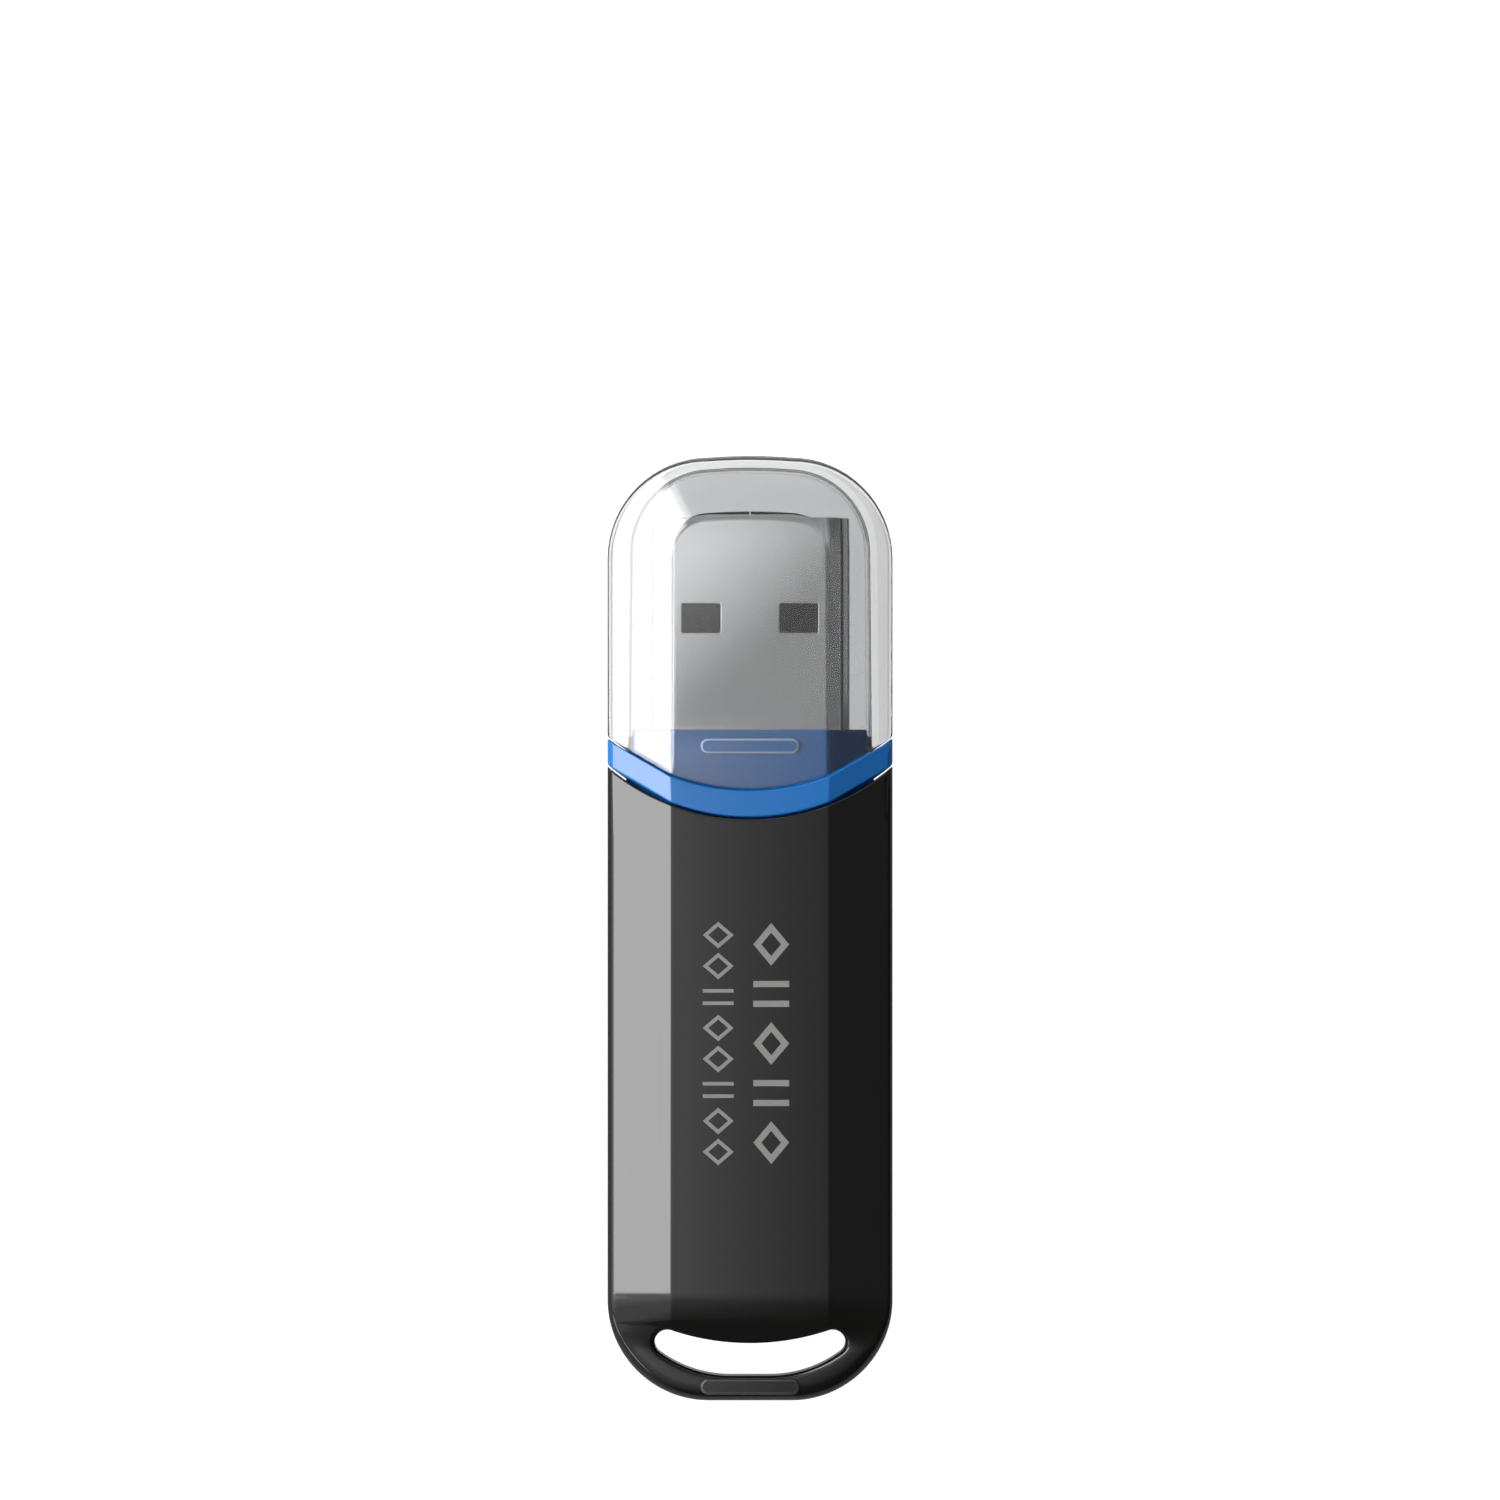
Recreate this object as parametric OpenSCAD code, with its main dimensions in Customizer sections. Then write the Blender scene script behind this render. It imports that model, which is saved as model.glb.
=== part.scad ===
// Capped flash drive with a standard type A plug.
// Y runs along the drive with the plug towards +Y, X runs across it, and Z is up.
// The origin is in the middle of the lower face, below the middle of the capped drive.

/* [Body outline] */
// Length with the cap on
total_length = 57.9; // [57.4:0.1:60]
// Width across the side walls
body_width = 17.5; // [17.3:0.1:18.4]
// Thickness between the two flat faces
body_thick = 8.7; // [8.6:0.1:9.2]
// Width of the flat facet on each face
facet_width = 9.7; // [9.2:0.1:10.2]
// Slope of the bevel beside each facet, in degrees
bevel_angle = 16.4; // [14:0.1:17]
// Corner radius of the outline at both ends
corner_r = 6.2; // [5.8:0.1:6.5]
// Softening radius where the bevel meets the side wall
edge_r = 0.5; // [0.3:0.05:0.6]
// Wall thickness of the two body shells
shell_wall = 1.1; // [1:0.05:1.15]

/* [Seams] */
// Radius of every curved seam across the drive
seam_r = 13.5; // [13:0.1:15]
// Middle of the seam between the shells and the collar, ahead of the centre
seam_y = 6.82; // [6.5:0.02:7.2]
// Length of the collar's visible band
band_length = 1.74; // [1.5:0.02:2]
// Open groove left at a seam
seam_gap = 0.12; // [0.06:0.02:0.2]

/* [Collar] */
// Distance from the centre to the collar's front face
boss_front = 12.26; // [12:0.02:12.6]
// Width of the boss that the cap slides over
boss_width = 14.26; // [14.1:0.02:14.4]
// Thickness of the boss
boss_thick = 6; // [5.9:0.05:6.1]
// Rear end of the spigot inside the shells
spigot_back = 3.5; // [3.4:0.1:4.5]
// Slip between two fixed pieces
slip = 0.04; // [0.02:0.01:0.06]

/* [Cap] */
// Inner width of the cap
cap_inner_width = 14.7; // [14.6:0.02:14.9]
// Inner thickness of the cap
cap_inner_thick = 6.48; // [6.46:0.01:6.56]
// End wall of the cap
cap_end_wall = 0.86; // [0.8:0.02:1.2]
// Inner corner radius of the cap's end
cap_inner_r = 4.9; // [4.6:0.1:5.1]

/* [Snap ribs] */
// Length of a snap rib across the drive
rib_length = 6.1; // [5:0.1:7]
// Width of a snap rib
rib_width = 0.96; // [0.8:0.02:1.1]
// Height of a snap rib
rib_height = 0.22; // [0.1:0.01:0.22]
// Distance from the collar's front face to its rib's middle
rib_setback = 1.02; // [0.9:0.02:1.3]

/* [Tail] */
// Start of the tail's downward curve, from the centre
slope_start = -22.2; // [-22.6:0.1:-21.8]
// Radius of the curve that turns the face down
slope_r = 3.67; // [3.2:0.01:3.8]
// Angle of the slope below the curve
slope_angle = 33; // [31:0.5:36]
// Middle of the lanyard hole's curved upper edge, from the centre
loop_top = -25.42; // [-25.6:0.02:-25.3]
// Radius of that upper edge
loop_r = 15; // [14.5:0.1:16]
// Thickness of material behind the lanyard hole, at the middle
loop_bar = 1.53; // [1.45:0.01:1.7]
// Radius of the lanyard hole's lower corners
loop_corner_r = 7.3; // [7.1:0.05:7.5]
// Distance from the middle to the centres of those corners
loop_corner_x = 1.2; // [1:0.05:1.3]
// Radius of the lanyard hole's two pointed ends
loop_tip_r = 0.78; // [0.7:0.02:0.8]

/* [Plug] */
// Width of the plug shell
plug_width = 12; // [11.9:0.05:12.1]
// Height of the plug shell
plug_height = 4.5; // [4.4:0.05:4.6]
// Thickness of the plug shell's sheet
plug_sheet = 0.3; // [0.28:0.01:0.34]
// Front edge of the plug, from the centre
plug_front = 25.14; // [24.9:0.02:25.4]
// Whole length of the plug shell
plug_length = 18.75; // [18.4:0.05:19]
// Width of a latch window
window_width = 2.37; // [2.2:0.01:2.5]
// Length of a latch window
window_length = 1.79; // [1.6:0.01:2]
// Distance between the middles of the two windows
window_spacing = 6; // [5.8:0.02:6.2]
// Front edge of the plug to the windows' front edge
window_setback = 5.15; // [5:0.01:5.3]

/* [Electronics] */
// Width of the circuit board
board_width = 14; // [13.6:0.1:14.2]
// Thickness of the circuit board
board_thick = 0.8; // [0.6:0.1:0.8]
// Rear edge of the circuit board, from the centre
board_back = -20.9; // [-21:0.1:-20.6]
// Length of the flash chip's moulding
flash_length = 18.4; // [18:0.1:18.4]
// Width of the flash chip's moulding
flash_width = 12; // [11.6:0.1:12]
// Side of the controller chip's moulding
controller_side = 7; // [6:0.5:7]

/* [Hidden] */
$fn = 64;

half_w = body_width / 2;
half_t = body_thick / 2;
half_l = total_length / 2;
facet = facet_width / 2;
ledge_y = seam_y + band_length;
tail_arc_y = slope_start - slope_r * sin(slope_angle);
tail_drop = slope_r * (1 - cos(slope_angle)) + (tail_arc_y - loop_top) * tan(slope_angle);
tail_half_t = half_t - tail_drop;

// The plug's inside, the electronics and what holds them are drawn with the contacts facing up, and the
// assembly turns them over. The board lies just under the contacts, and these lie in the plug's middle.
contact_thick = 0.3;
contact_top = -0.04;
board_top = contact_top - contact_thick;
board_low = board_top - board_thick;
board_shoulder = spigot_back - 0.3;
board_nose = plug_front - plug_length - 0.2;
nose_width = 11;
notch_y = 1.2;
notch_r = 1.15;
floor_z = half_t - shell_wall;
cavity_back = board_back - 0.25;
pin_r = 0.5;
post_r = 0.95;
post_x = 6.8;
tail_pin = [5.6, -22.2];

// ---- Shapes that repeat ----

// Points along an arc, from one angle to another.
function arc(middle, r, from, to, steps) =
    [for (i = [0 : steps]) let (a = from + (to - from) * i / steps) middle + r * [cos(a), sin(a)]];

// Where two circles cross, on the side towards +X.
function crossing(a, ra, b, rb) =
    let (gap = norm(b - a), along = (b - a) / gap)
    let (reach = (ra * ra - rb * rb + gap * gap) / (2 * gap))
    a + along * reach + [-along[1], along[0]] * sqrt(ra * ra - reach * reach);

// Width of the facet once a bevelled section is drawn in by d on every side.
function facet_inside(d) = facet - d * tan(bevel_angle / 2);

// Edge profile out from an axis: flat, bevel, softened edge, and the same below.
function edge_profile(reach, t, flat, soft) =
    let (x = reach - soft)
    let (z = t - (x - flat) * tan(bevel_angle) - soft / cos(bevel_angle))
    let (top = concat([[0, t], [flat, t]], arc([x, z], soft, 90 - bevel_angle, 0, 4)))
    concat(top, [for (i = [len(top) - 1 : -1 : 0]) [top[i][0], -top[i][1]]]);

// Whole bevelled section across the drive.
function section(reach, t, flat, soft) =
    let (right = [for (p = edge_profile(reach, t, flat, soft)) if (p[0] > 0) p])
    concat(right, [for (i = [len(right) - 1 : -1 : 0]) [-right[i][0], right[i][1]]]);

// Lays a drawing of (x, z) points along Y from one place to another.
module along_y(from, to) {
    translate([0, to, 0]) rotate([90, 0, 0]) linear_extrude(to - from) children();
}

// Lays a drawing of (y, z) points along X, centred on the middle of the drive.
module along_x(width) {
    rotate([90, 0, 90]) translate([0, 0, -width / 2]) linear_extrude(width) children();
}

// Bevelled bar with round-cornered ends. The bevel runs on round the ends.
module slab(reach, t, flat, r, from, to, soft) {
    side = reach - r;
    profile = edge_profile(r, t, flat - side, soft);
    along_y(from + r, to - r) polygon(section(reach, t, flat, soft));
    for (end = [[from + r, 1], [to - r, 0]]) {
        translate([0, end[0], 0]) mirror([0, end[1], 0]) {
            along_x(2 * side) polygon(profile);
            for (flip = [0, 1]) mirror([flip, 0, 0]) translate([side, 0, 0]) rotate_extrude(angle = 90)
                polygon(profile);
        }
    }
}

module outer_form() {
    slab(half_w, half_t, facet, corner_r, -half_l, half_l, edge_r);
}

// Everything ahead of a curved seam whose middle is at y.
module ahead_of(y) {
    translate([0, y + seam_r, 0]) {
        cylinder(r = seam_r, h = 2 * body_thick, center = true, $fn = 128);
        translate([-12, 0, -body_thick]) cube([24, half_l, 2 * body_thick]);
    }
}

module rounded_block(w, h, r) {
    square([w - 2 * r, h], center = true);
    square([w, h - 2 * r], center = true);
    for (x = [-1, 1], z = [-1, 1]) translate([x * (w / 2 - r), z * (h / 2 - r)]) circle(r, $fn = 24);
}

// Low bar with round ends that stands on a face at height z, above and below the middle.
module snap_ribs(y, z, sides) {
    for (side = sides) mirror([0, 0, side]) translate([0, y, z - 0.3]) {
        linear_extrude(rib_height + 0.3) {
            square([rib_length - rib_width, rib_width], center = true);
            for (x = [-1, 1]) translate([x * (rib_length - rib_width) / 2, 0]) circle(d = rib_width, $fn = 24);
        }
    }
}

// ---- Cap ----

module cap() {
    in_flat = facet_inside(half_t - cap_inner_thick / 2);
    color([0.9, 0.93, 0.95, 0.4]) difference() {
        intersection() {
            outer_form();
            ahead_of(ledge_y + seam_gap / 2);
        }
        slab(cap_inner_width / 2, cap_inner_thick / 2, in_flat, cap_inner_r,
             -half_l, half_l - cap_end_wall, edge_r);
    }
}

// ---- Collar ----

module plug_passage() {
    along_y(0, half_l) rounded_block(plug_width + slip, plug_height + slip, 0.6);
}

module collar() {
    fit = shell_wall + slip;
    color([0.13, 0.4, 0.72]) difference() {
        union() {
            intersection() {
                outer_form();
                difference() {
                    ahead_of(seam_y + seam_gap / 2);
                    ahead_of(ledge_y - seam_gap / 2);
                }
            }
            difference() {
                along_y(spigot_back, boss_front)
                    polygon(section(half_w - fit, half_t - fit, facet_inside(fit), 0.2));
                ahead_of(seam_y + band_length / 2);
            }
            along_y(seam_y, boss_front)
                polygon(section(boss_width / 2, boss_thick / 2, facet_inside(half_t - boss_thick / 2), 0.3));
            snap_ribs(boss_front - rib_setback, boss_thick / 2, [0, 1]);
        }
        plug_passage();
    }
}

// ---- Body shells ----

// Space over the tail's slope and over the flat bar behind it, on the +Z side.
module over_tail() {
    curve = arc([slope_start, half_t - slope_r], slope_r, 90, 90 + slope_angle, 6);
    far = -half_l - 5;
    along_x(3 * body_width) polygon(concat(curve,
        [[loop_top, tail_half_t], [far, tail_half_t], [far, half_t + 9], [slope_start, half_t + 9]]));
}

// Outline of the lanyard hole: a curved upper edge, two pointed ends and a round-cornered bar.
function loop_outline() =
    let (top = [0, loop_top + loop_r])
    let (corner = [loop_corner_x, -half_l + loop_bar + loop_corner_r])
    let (tip = crossing(top, loop_r + loop_tip_r, corner, loop_corner_r - loop_tip_r))
    let (lean = atan2(tip[0], top[1] - tip[1]))
    let (turn = atan2(tip[1] - corner[1], tip[0] - corner[0]))
    let (right = concat(arc(tip, loop_tip_r, 90 + lean, turn, 8), arc(corner, loop_corner_r, turn, -90, 8)))
    concat(arc(top, loop_r, -90 - lean, -90 + lean, 12), right,
           [for (i = [len(right) - 1 : -1 : 0]) [-right[i][0], right[i][1]]]);

// The closed form of one shell, on the +Z side, with nothing fitted inside it.
module shell_half() {
    difference() {
        intersection() {
            outer_form();
            translate([-half_w, -half_l - 1, 0]) cube([body_width, total_length, half_t]);
        }
        ahead_of(seam_y - seam_gap / 2);
        over_tail();
        translate([0, 0, -half_t]) linear_extrude(3 * half_t) polygon(loop_outline());
        along_y(cavity_back, half_l) polygon(section(half_w - shell_wall, floor_z, facet_inside(shell_wall), 0.2));
        translate([-3.6, cavity_back - 2, -1]) cube([7.2, 3, 3]);
    }
    snap_ribs(-half_l + 0.86, tail_half_t, [0]);
}

// The shell over the contacts' side of the board, drawn on the +Z side.
module shell_with_pins() {
    color([0.1, 0.1, 0.1]) union() {
        shell_half();
        // Pads that hold the board down along both side walls
        for (x = [-1, 1], y = [-16, -7]) translate([x * 7.1 - 0.55, y, board_top + 0.02])
            cube([1.1, 3, floor_z - board_top - 0.6]);
        // Pins for the sockets in the other shell
        for (x = [-1, 1]) {
            translate([x * post_x, notch_y, -1.2]) cylinder(r = pin_r, h = 1.2 + floor_z - 0.3);
            translate([x * tail_pin[0], tail_pin[1], -1.2]) cylinder(r = pin_r, h = 2.4);
        }
    }
}

// The shell that carries the board, drawn on the -Z side.
module shell_with_sockets() {
    color([0.1, 0.1, 0.1]) difference() {
        union() {
            mirror([0, 0, 1]) shell_half();
            // Rails that carry the board along both side walls
            for (x = [-1, 1]) translate([x * 7.1 - 0.55, board_back + 1.5, -floor_z + 0.4])
                cube([1.1, spigot_back - board_back - 2.5, floor_z - 0.4 + board_low - 0.02]);
            // Posts in the board's side notches
            for (x = [-1, 1]) translate([x * post_x, notch_y, -floor_z + 0.3])
                cylinder(r = post_r, h = floor_z - 0.3);
            // Stop behind the board
            translate([-4, cavity_back - 0.6, -floor_z]) cube([8, 0.8, floor_z + board_top]);
        }
        for (x = [-1, 1]) {
            translate([x * post_x, notch_y, -1.4]) cylinder(r = pin_r + slip / 2, h = 2);
            translate([x * tail_pin[0], tail_pin[1], -1.4]) cylinder(r = pin_r + slip / 2, h = 2);
        }
    }
}

// ---- Plug ----

module windows(depth) {
    for (x = [-1, 1]) translate([x * window_spacing / 2 - window_width / 2,
                                 plug_front - window_setback - window_length, depth[0]])
        cube([window_width, window_length, depth[1] - depth[0]]);
}

module plug_shell() {
    back = plug_front - plug_length;
    color([0.75, 0.75, 0.76]) {
        difference() {
            along_y(back, plug_front) rounded_block(plug_width, plug_height, 0.6);
            along_y(back - 1, plug_front + 1)
                rounded_block(plug_width - 2 * plug_sheet, plug_height - 2 * plug_sheet, 0.3);
            windows([-plug_height, plug_height]);
            // Seam where the rolled sheet meets, on the contacts' side
            translate([-0.03, back - 1, 0]) cube([0.06, plug_length + 2, plug_height]);
        }
        // Tabs that are soldered beside the board's nose
        for (flip = [0, 1]) mirror([flip, 0, 0])
            translate([plug_width / 2 - plug_sheet, back - 2.4, board_low]) cube([plug_sheet, 2.5, 1.3]);
    }
}

contact_x = [-3.5, -1, 1, 3.5];
contact_width = 1;

module plug_insulator() {
    in_w = plug_width - 2 * plug_sheet - slip;
    in_h = plug_height - 2 * plug_sheet - slip;
    back = plug_front - plug_length + 0.2;
    color([0.04, 0.04, 0.04]) difference() {
        along_y(back, plug_front - 0.4) rounded_block(in_w, in_h, 0.28);
        // Mouth that takes the socket's tongue
        translate([-plug_width / 2, plug_front - 12, contact_top - 0.02]) cube([plug_width, 13, plug_height]);
        for (x = contact_x) translate([x - contact_width / 2 - 0.02, back - 1, board_top - 0.02])
            cube([contact_width + 0.04, plug_front - back - 0.1, contact_thick + 0.02]);
        // Pockets behind the lower windows
        windows([-plug_height, -1.3]);
    }
}

// A contact is a flat strip from the plug's mouth to the board, with a turned-down nose.
module contact(index, setback) {
    front = plug_front - setback;
    tail = board_nose - 2.4;
    color([0.85, 0.65, 0.25])
        translate([contact_x[index], 0, 0]) along_x(contact_width) polygon([
            [tail, board_top], [tail, contact_top], [front - 0.5, contact_top],
            [front, contact_top - 0.12], [front, board_top]]);
}

// ---- Electronics ----

module circuit_board() {
    color([0.05, 0.3, 0.15]) difference() {
        translate([0, 0, board_low]) linear_extrude(board_thick) union() {
            translate([-board_width / 2, board_back]) square([board_width, board_shoulder - board_back]);
            translate([-nose_width / 2, board_back]) square([nose_width, board_nose - board_back]);
        }
        for (x = [-1, 1]) translate([x * post_x, notch_y, board_low - 1]) cylinder(r = notch_r, h = 3);
    }
}

// Fillets of solder at the contacts' tails and in the corners between the board's nose and the tabs.
module solder_joints() {
    tail = board_nose - 2.4;
    color([0.7, 0.7, 0.72]) {
        for (x = contact_x) translate([x, 0, 0]) along_x(contact_width - 0.1)
            polygon([[tail, board_top], [tail, contact_top - 0.06], [tail - 0.55, board_top]]);
        for (flip = [0, 1]) mirror([flip, 0, 0]) along_y(board_nose - 1.9, board_nose - 0.2)
            polygon([[nose_width / 2 - 0.5, board_top], [plug_width / 2 - plug_sheet, board_top + 0.4],
                     [plug_width / 2 - plug_sheet, board_low + 0.3], [nose_width / 2, board_low + 0.3],
                     [nose_width / 2, board_top]]);
    }
}

// Chip moulding whose four sides lean in above and below its middle.
module moulding(w, l, h) {
    lean = 0.12;
    intersection() {
        along_x(w) polygon([[-l / 2 + lean, 0], [-l / 2, h / 2], [-l / 2 + lean, h],
                            [l / 2 - lean, h], [l / 2, h / 2], [l / 2 - lean, 0]]);
        along_y(-l / 2, l / 2) polygon([[-w / 2 + lean, 0], [-w / 2, h / 2], [-w / 2 + lean, h],
                                        [w / 2 - lean, h], [w / 2, h / 2], [w / 2 - lean, 0]]);
    }
}

// Row of bent leads along X that leave a moulding at y = 0 and stand at height 0 on the board.
module lead_row(count, pitch, width, reach, rise) {
    foot = reach * 0.55;
    for (i = [0 : count - 1]) translate([(i - (count - 1) / 2) * pitch, 0, 0]) along_x(width) polygon([
        [0, rise], [0, rise + 0.13], [reach - foot, rise + 0.13], [reach - foot + 0.15, 0.13],
        [reach, 0.13], [reach, 0], [reach - foot, 0], [reach - foot - 0.13, rise]]);
}

flash_y = board_back + 0.7 + (flash_length + 1.6) / 2;
flash_height = 1;
stand_off = 0.1;

module flash_chip() {
    color([0.1, 0.1, 0.11]) translate([0, flash_y, board_top + stand_off]) difference() {
        moulding(flash_width, flash_length, flash_height);
        // Round dimple that marks the first lead
        translate([-flash_width / 2 + 1.4, flash_length / 2 - 1.4, flash_height - 0.08]) cylinder(d = 1.1, h = 1);
    }
}

module flash_chip_leads() {
    color([0.78, 0.78, 0.8]) translate([0, flash_y, board_top]) for (flip = [0, 1]) mirror([0, flip, 0])
        translate([0, flash_length / 2, 0]) lead_row(24, 0.48, 0.2, 0.8, stand_off + flash_height / 2 - 0.065);
}

controller_y = -9.2;
controller_height = 1.2;

// Everything under the board is drawn upright and turned over.
module under_board(y) {
    translate([0, y, board_low]) rotate([0, 180, 0]) children();
}

module controller_chip() {
    color([0.1, 0.1, 0.11]) under_board(controller_y) translate([0, 0, stand_off]) difference() {
        moulding(controller_side, controller_side, controller_height);
        translate([-controller_side / 2 + 1.1, controller_side / 2 - 1.1, controller_height - 0.08])
            cylinder(d = 0.8, h = 1);
    }
}

module controller_leads() {
    color([0.78, 0.78, 0.8]) under_board(controller_y) for (turn = [0, 90, 180, 270]) rotate([0, 0, turn])
        translate([0, controller_side / 2, 0])
            lead_row(12, controller_side / 14, 0.22, 1, stand_off + controller_height / 2 - 0.065);
}

module crystal() {
    color([0.8, 0.8, 0.78]) under_board(-16.4) {
        translate([0, 0, 0.3]) cube([3.2, 2.5, 0.6], center = true);
        translate([0, 0, 0.65]) cube([2.8, 2.1, 0.3], center = true);
    }
}

// Ceramic chip part: a body with a slightly thicker metal cap at each end, standing at height 0.
module chip_part(l, w, h) {
    translate([0, 0, h / 2]) cube([l - 0.02, w - 0.06, h - 0.06], center = true);
    for (x = [-1, 1]) translate([x * (l / 2 - l * 0.1), 0, h / 2]) cube([l * 0.2, w, h], center = true);
}

module bulk_capacitor() {
    color([0.72, 0.6, 0.42]) translate([-3.4, board_shoulder - 1.1, board_top]) chip_part(3.2, 1.6, 1.4);
}

module ferrite_bead() {
    color([0.3, 0.3, 0.32]) translate([3.6, board_shoulder - 1.1, board_top]) chip_part(2, 1.25, 0.9);
}

module capacitors() {
    color([0.75, 0.65, 0.5]) {
        for (x = [-1, 1]) under_board(-16.4) translate([x * 3.6, 0, 0]) rotate([0, 0, 90]) chip_part(1.6, 0.8, 0.8);
        for (x = [-4.6, -2.3, 0, 2.3, 4.6]) under_board(-2.2) translate([x, 0, 0]) rotate([0, 0, 90])
            chip_part(1.6, 0.8, 0.8);
    }
}

module resistors() {
    color([0.12, 0.12, 0.13]) for (x = [-1.1, 1.1]) under_board(1.1) translate([x, 0, 0])
        rotate([0, 0, 90]) chip_part(1.6, 0.8, 0.45);
}

// ---- Assembly ----

module placed() {
    translate([0, 0, half_t]) children();
}

module turned_over() {
    placed() rotate([0, 180, 0]) children();
}

placed() cap();
placed() collar();
turned_over() shell_with_sockets();  // upper_shell
turned_over() shell_with_pins();  // lower_shell
turned_over() plug_shell();
turned_over() plug_insulator();
turned_over() contact(0, 1.6);  // contact_power
turned_over() contact(1, 2.6);  // contact_data_minus
turned_over() contact(2, 2.6);  // contact_data_plus
turned_over() contact(3, 1.6);  // contact_ground
turned_over() circuit_board();
turned_over() solder_joints();
turned_over() flash_chip();
turned_over() flash_chip_leads();
turned_over() controller_chip();
turned_over() controller_leads();
turned_over() crystal();
turned_over() bulk_capacitor();
turned_over() capacitors();
turned_over() resistors();
turned_over() ferrite_bead();
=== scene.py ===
"""Looks of the capped flash drive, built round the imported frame.

Every shape is worked out in millimetres, with z measured from the drive's middle plane, and becomes
metres in the row frame when its mesh is made. Y runs from the lanyard loop to the plug.
"""
from math import atan, atan2, cos, dist, hypot, pi, radians, sin, sqrt, tan

import bmesh
import bpy
import numpy as np
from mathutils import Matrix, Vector, geometry


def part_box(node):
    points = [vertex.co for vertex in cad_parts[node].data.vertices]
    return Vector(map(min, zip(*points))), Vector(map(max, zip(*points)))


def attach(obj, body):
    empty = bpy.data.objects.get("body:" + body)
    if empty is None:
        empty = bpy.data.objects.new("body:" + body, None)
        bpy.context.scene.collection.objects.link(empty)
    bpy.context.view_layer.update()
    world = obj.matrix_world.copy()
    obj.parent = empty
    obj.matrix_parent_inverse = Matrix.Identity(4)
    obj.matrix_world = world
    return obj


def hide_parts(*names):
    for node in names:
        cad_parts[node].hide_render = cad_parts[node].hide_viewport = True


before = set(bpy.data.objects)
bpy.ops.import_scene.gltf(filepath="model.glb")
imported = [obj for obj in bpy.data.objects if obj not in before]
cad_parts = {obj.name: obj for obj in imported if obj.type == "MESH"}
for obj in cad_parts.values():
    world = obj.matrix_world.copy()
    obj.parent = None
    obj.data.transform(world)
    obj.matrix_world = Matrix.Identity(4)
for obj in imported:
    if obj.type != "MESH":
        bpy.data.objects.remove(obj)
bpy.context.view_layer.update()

MM = 0.001

# ---- Driving dimensions: places come from the frame, radii and angles are the design's own ----


def box_mm(node):
    """Lowest and highest corner of a CAD node, in millimetres."""
    low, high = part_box(node)
    return low / MM, high / MM


cap_low, cap_high = box_mm("cap")
shell_low, shell_high = box_mm("upper_shell")
collar_low, collar_high = box_mm("collar")
plug_low, plug_high = box_mm("plug_shell")
board_low, board_high = box_mm("circuit_board")

MID_Z = (cap_low.z + cap_high.z) / 2
HALF_W = (cap_high.x - cap_low.x) / 2
HALF_T = (cap_high.z - cap_low.z) / 2
TAIL_Y = shell_low.y
TIP_Y = cap_high.y
PLUG_HALF_W = (plug_high.x - plug_low.x) / 2
PLUG_HALF_T = (plug_high.z - plug_low.z) / 2
BOARD_UNDER = board_low.z - MID_Z
BOARD_TOP = board_high.z - MID_Z

BEVEL = radians(16.4)
FACET = 4.85  # half width of the flat face between the two bevels
CREASE = 0.1  # how far its softened edge reaches to each side
EDGE_R = 0.5  # rounding between the bevel and the side wall
CORNER_R = 6.2  # the outline's four corners
SEAM_R = 13.5  # the arc along which cap, collar and shells meet
SHELL_WALL = 1.1

SLOPE_START = -22.2
SLOPE_R = 3.67
SLOPE_ANGLE = radians(33)
LOOP_TOP = -25.42
LOOP_R = 15
LOOP_BAR = 1.53
LOOP_CORNER_R = 7.3
LOOP_CORNER_X = 1.2
LOOP_TIP_R = 0.78

BOSS_HALF_W = 7.13
BOSS_HALF_T = 3.0
RIB_LENGTH = 6.1
RIB_WIDTH = 0.96
RIB_HEIGHT = 0.22
RIB_SETBACK = 1.02
TAIL_RIB_SETBACK = 0.86

CAP_IN_HALF_W = 7.35
CAP_IN_HALF_T = 3.24
CAP_IN_CORNER_R = 4.9
CAP_END_WALL = 0.86
CAP_DRAFT = 0.012  # share of the inner width lost over 10 mm
TIP_CROWN = 0.1

PLUG_SHEET = 0.3


def bow(x, r=SEAM_R):
    """How far an arc of radius r has risen at x from its lowest point."""
    return r - sqrt(r * r - x * x)


SHELL_SEAM = shell_high.y - bow(HALF_W)
CAP_MOUTH = cap_low.y
LEDGE = CAP_MOUTH - 0.1
BAND_REAR = SHELL_SEAM + 0.12

# ---- Mesh helpers ----


def spread(start, end, steps):
    """steps + 1 evenly spaced values."""
    return [start + (end - start) * i / steps for i in range(steps + 1)]


def arc(centre, r, start, end, steps):
    """Points along an arc; angles are radians."""
    return [(centre[0] + r * cos(a), centre[1] + r * sin(a)) for a in spread(start, end, steps)]


def to_row(p):
    """A point in millimetres about the middle plane, as metres in the row frame."""
    return Vector((p[0] * MM, p[1] * MM, (p[2] + MID_Z) * MM))


def finished(bm, name):
    """Turns a bmesh into a mesh."""
    mesh = bpy.data.meshes.new(name)
    bm.to_mesh(mesh)
    bm.free()
    return mesh


def new_object(name, data):
    made = bpy.data.objects.new(name, data)
    bpy.context.scene.collection.objects.link(made)
    return made


def mesh_piece(name, verts, faces, body, material, smooth=True):
    """Makes a piece from points in millimetres, closes its seams and points its faces outwards."""
    bm = bmesh.new()
    made = [bm.verts.new(to_row(v)) for v in verts]
    for f in faces:
        if len(set(f)) > 2:
            try:
                bm.faces.new([made[i] for i in f])
            except ValueError:
                pass
    bmesh.ops.remove_doubles(bm, verts=bm.verts, dist=1e-7)
    bmesh.ops.recalc_face_normals(bm, faces=bm.faces)
    return add_piece(name, finished(bm, name), body, material, smooth)


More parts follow.
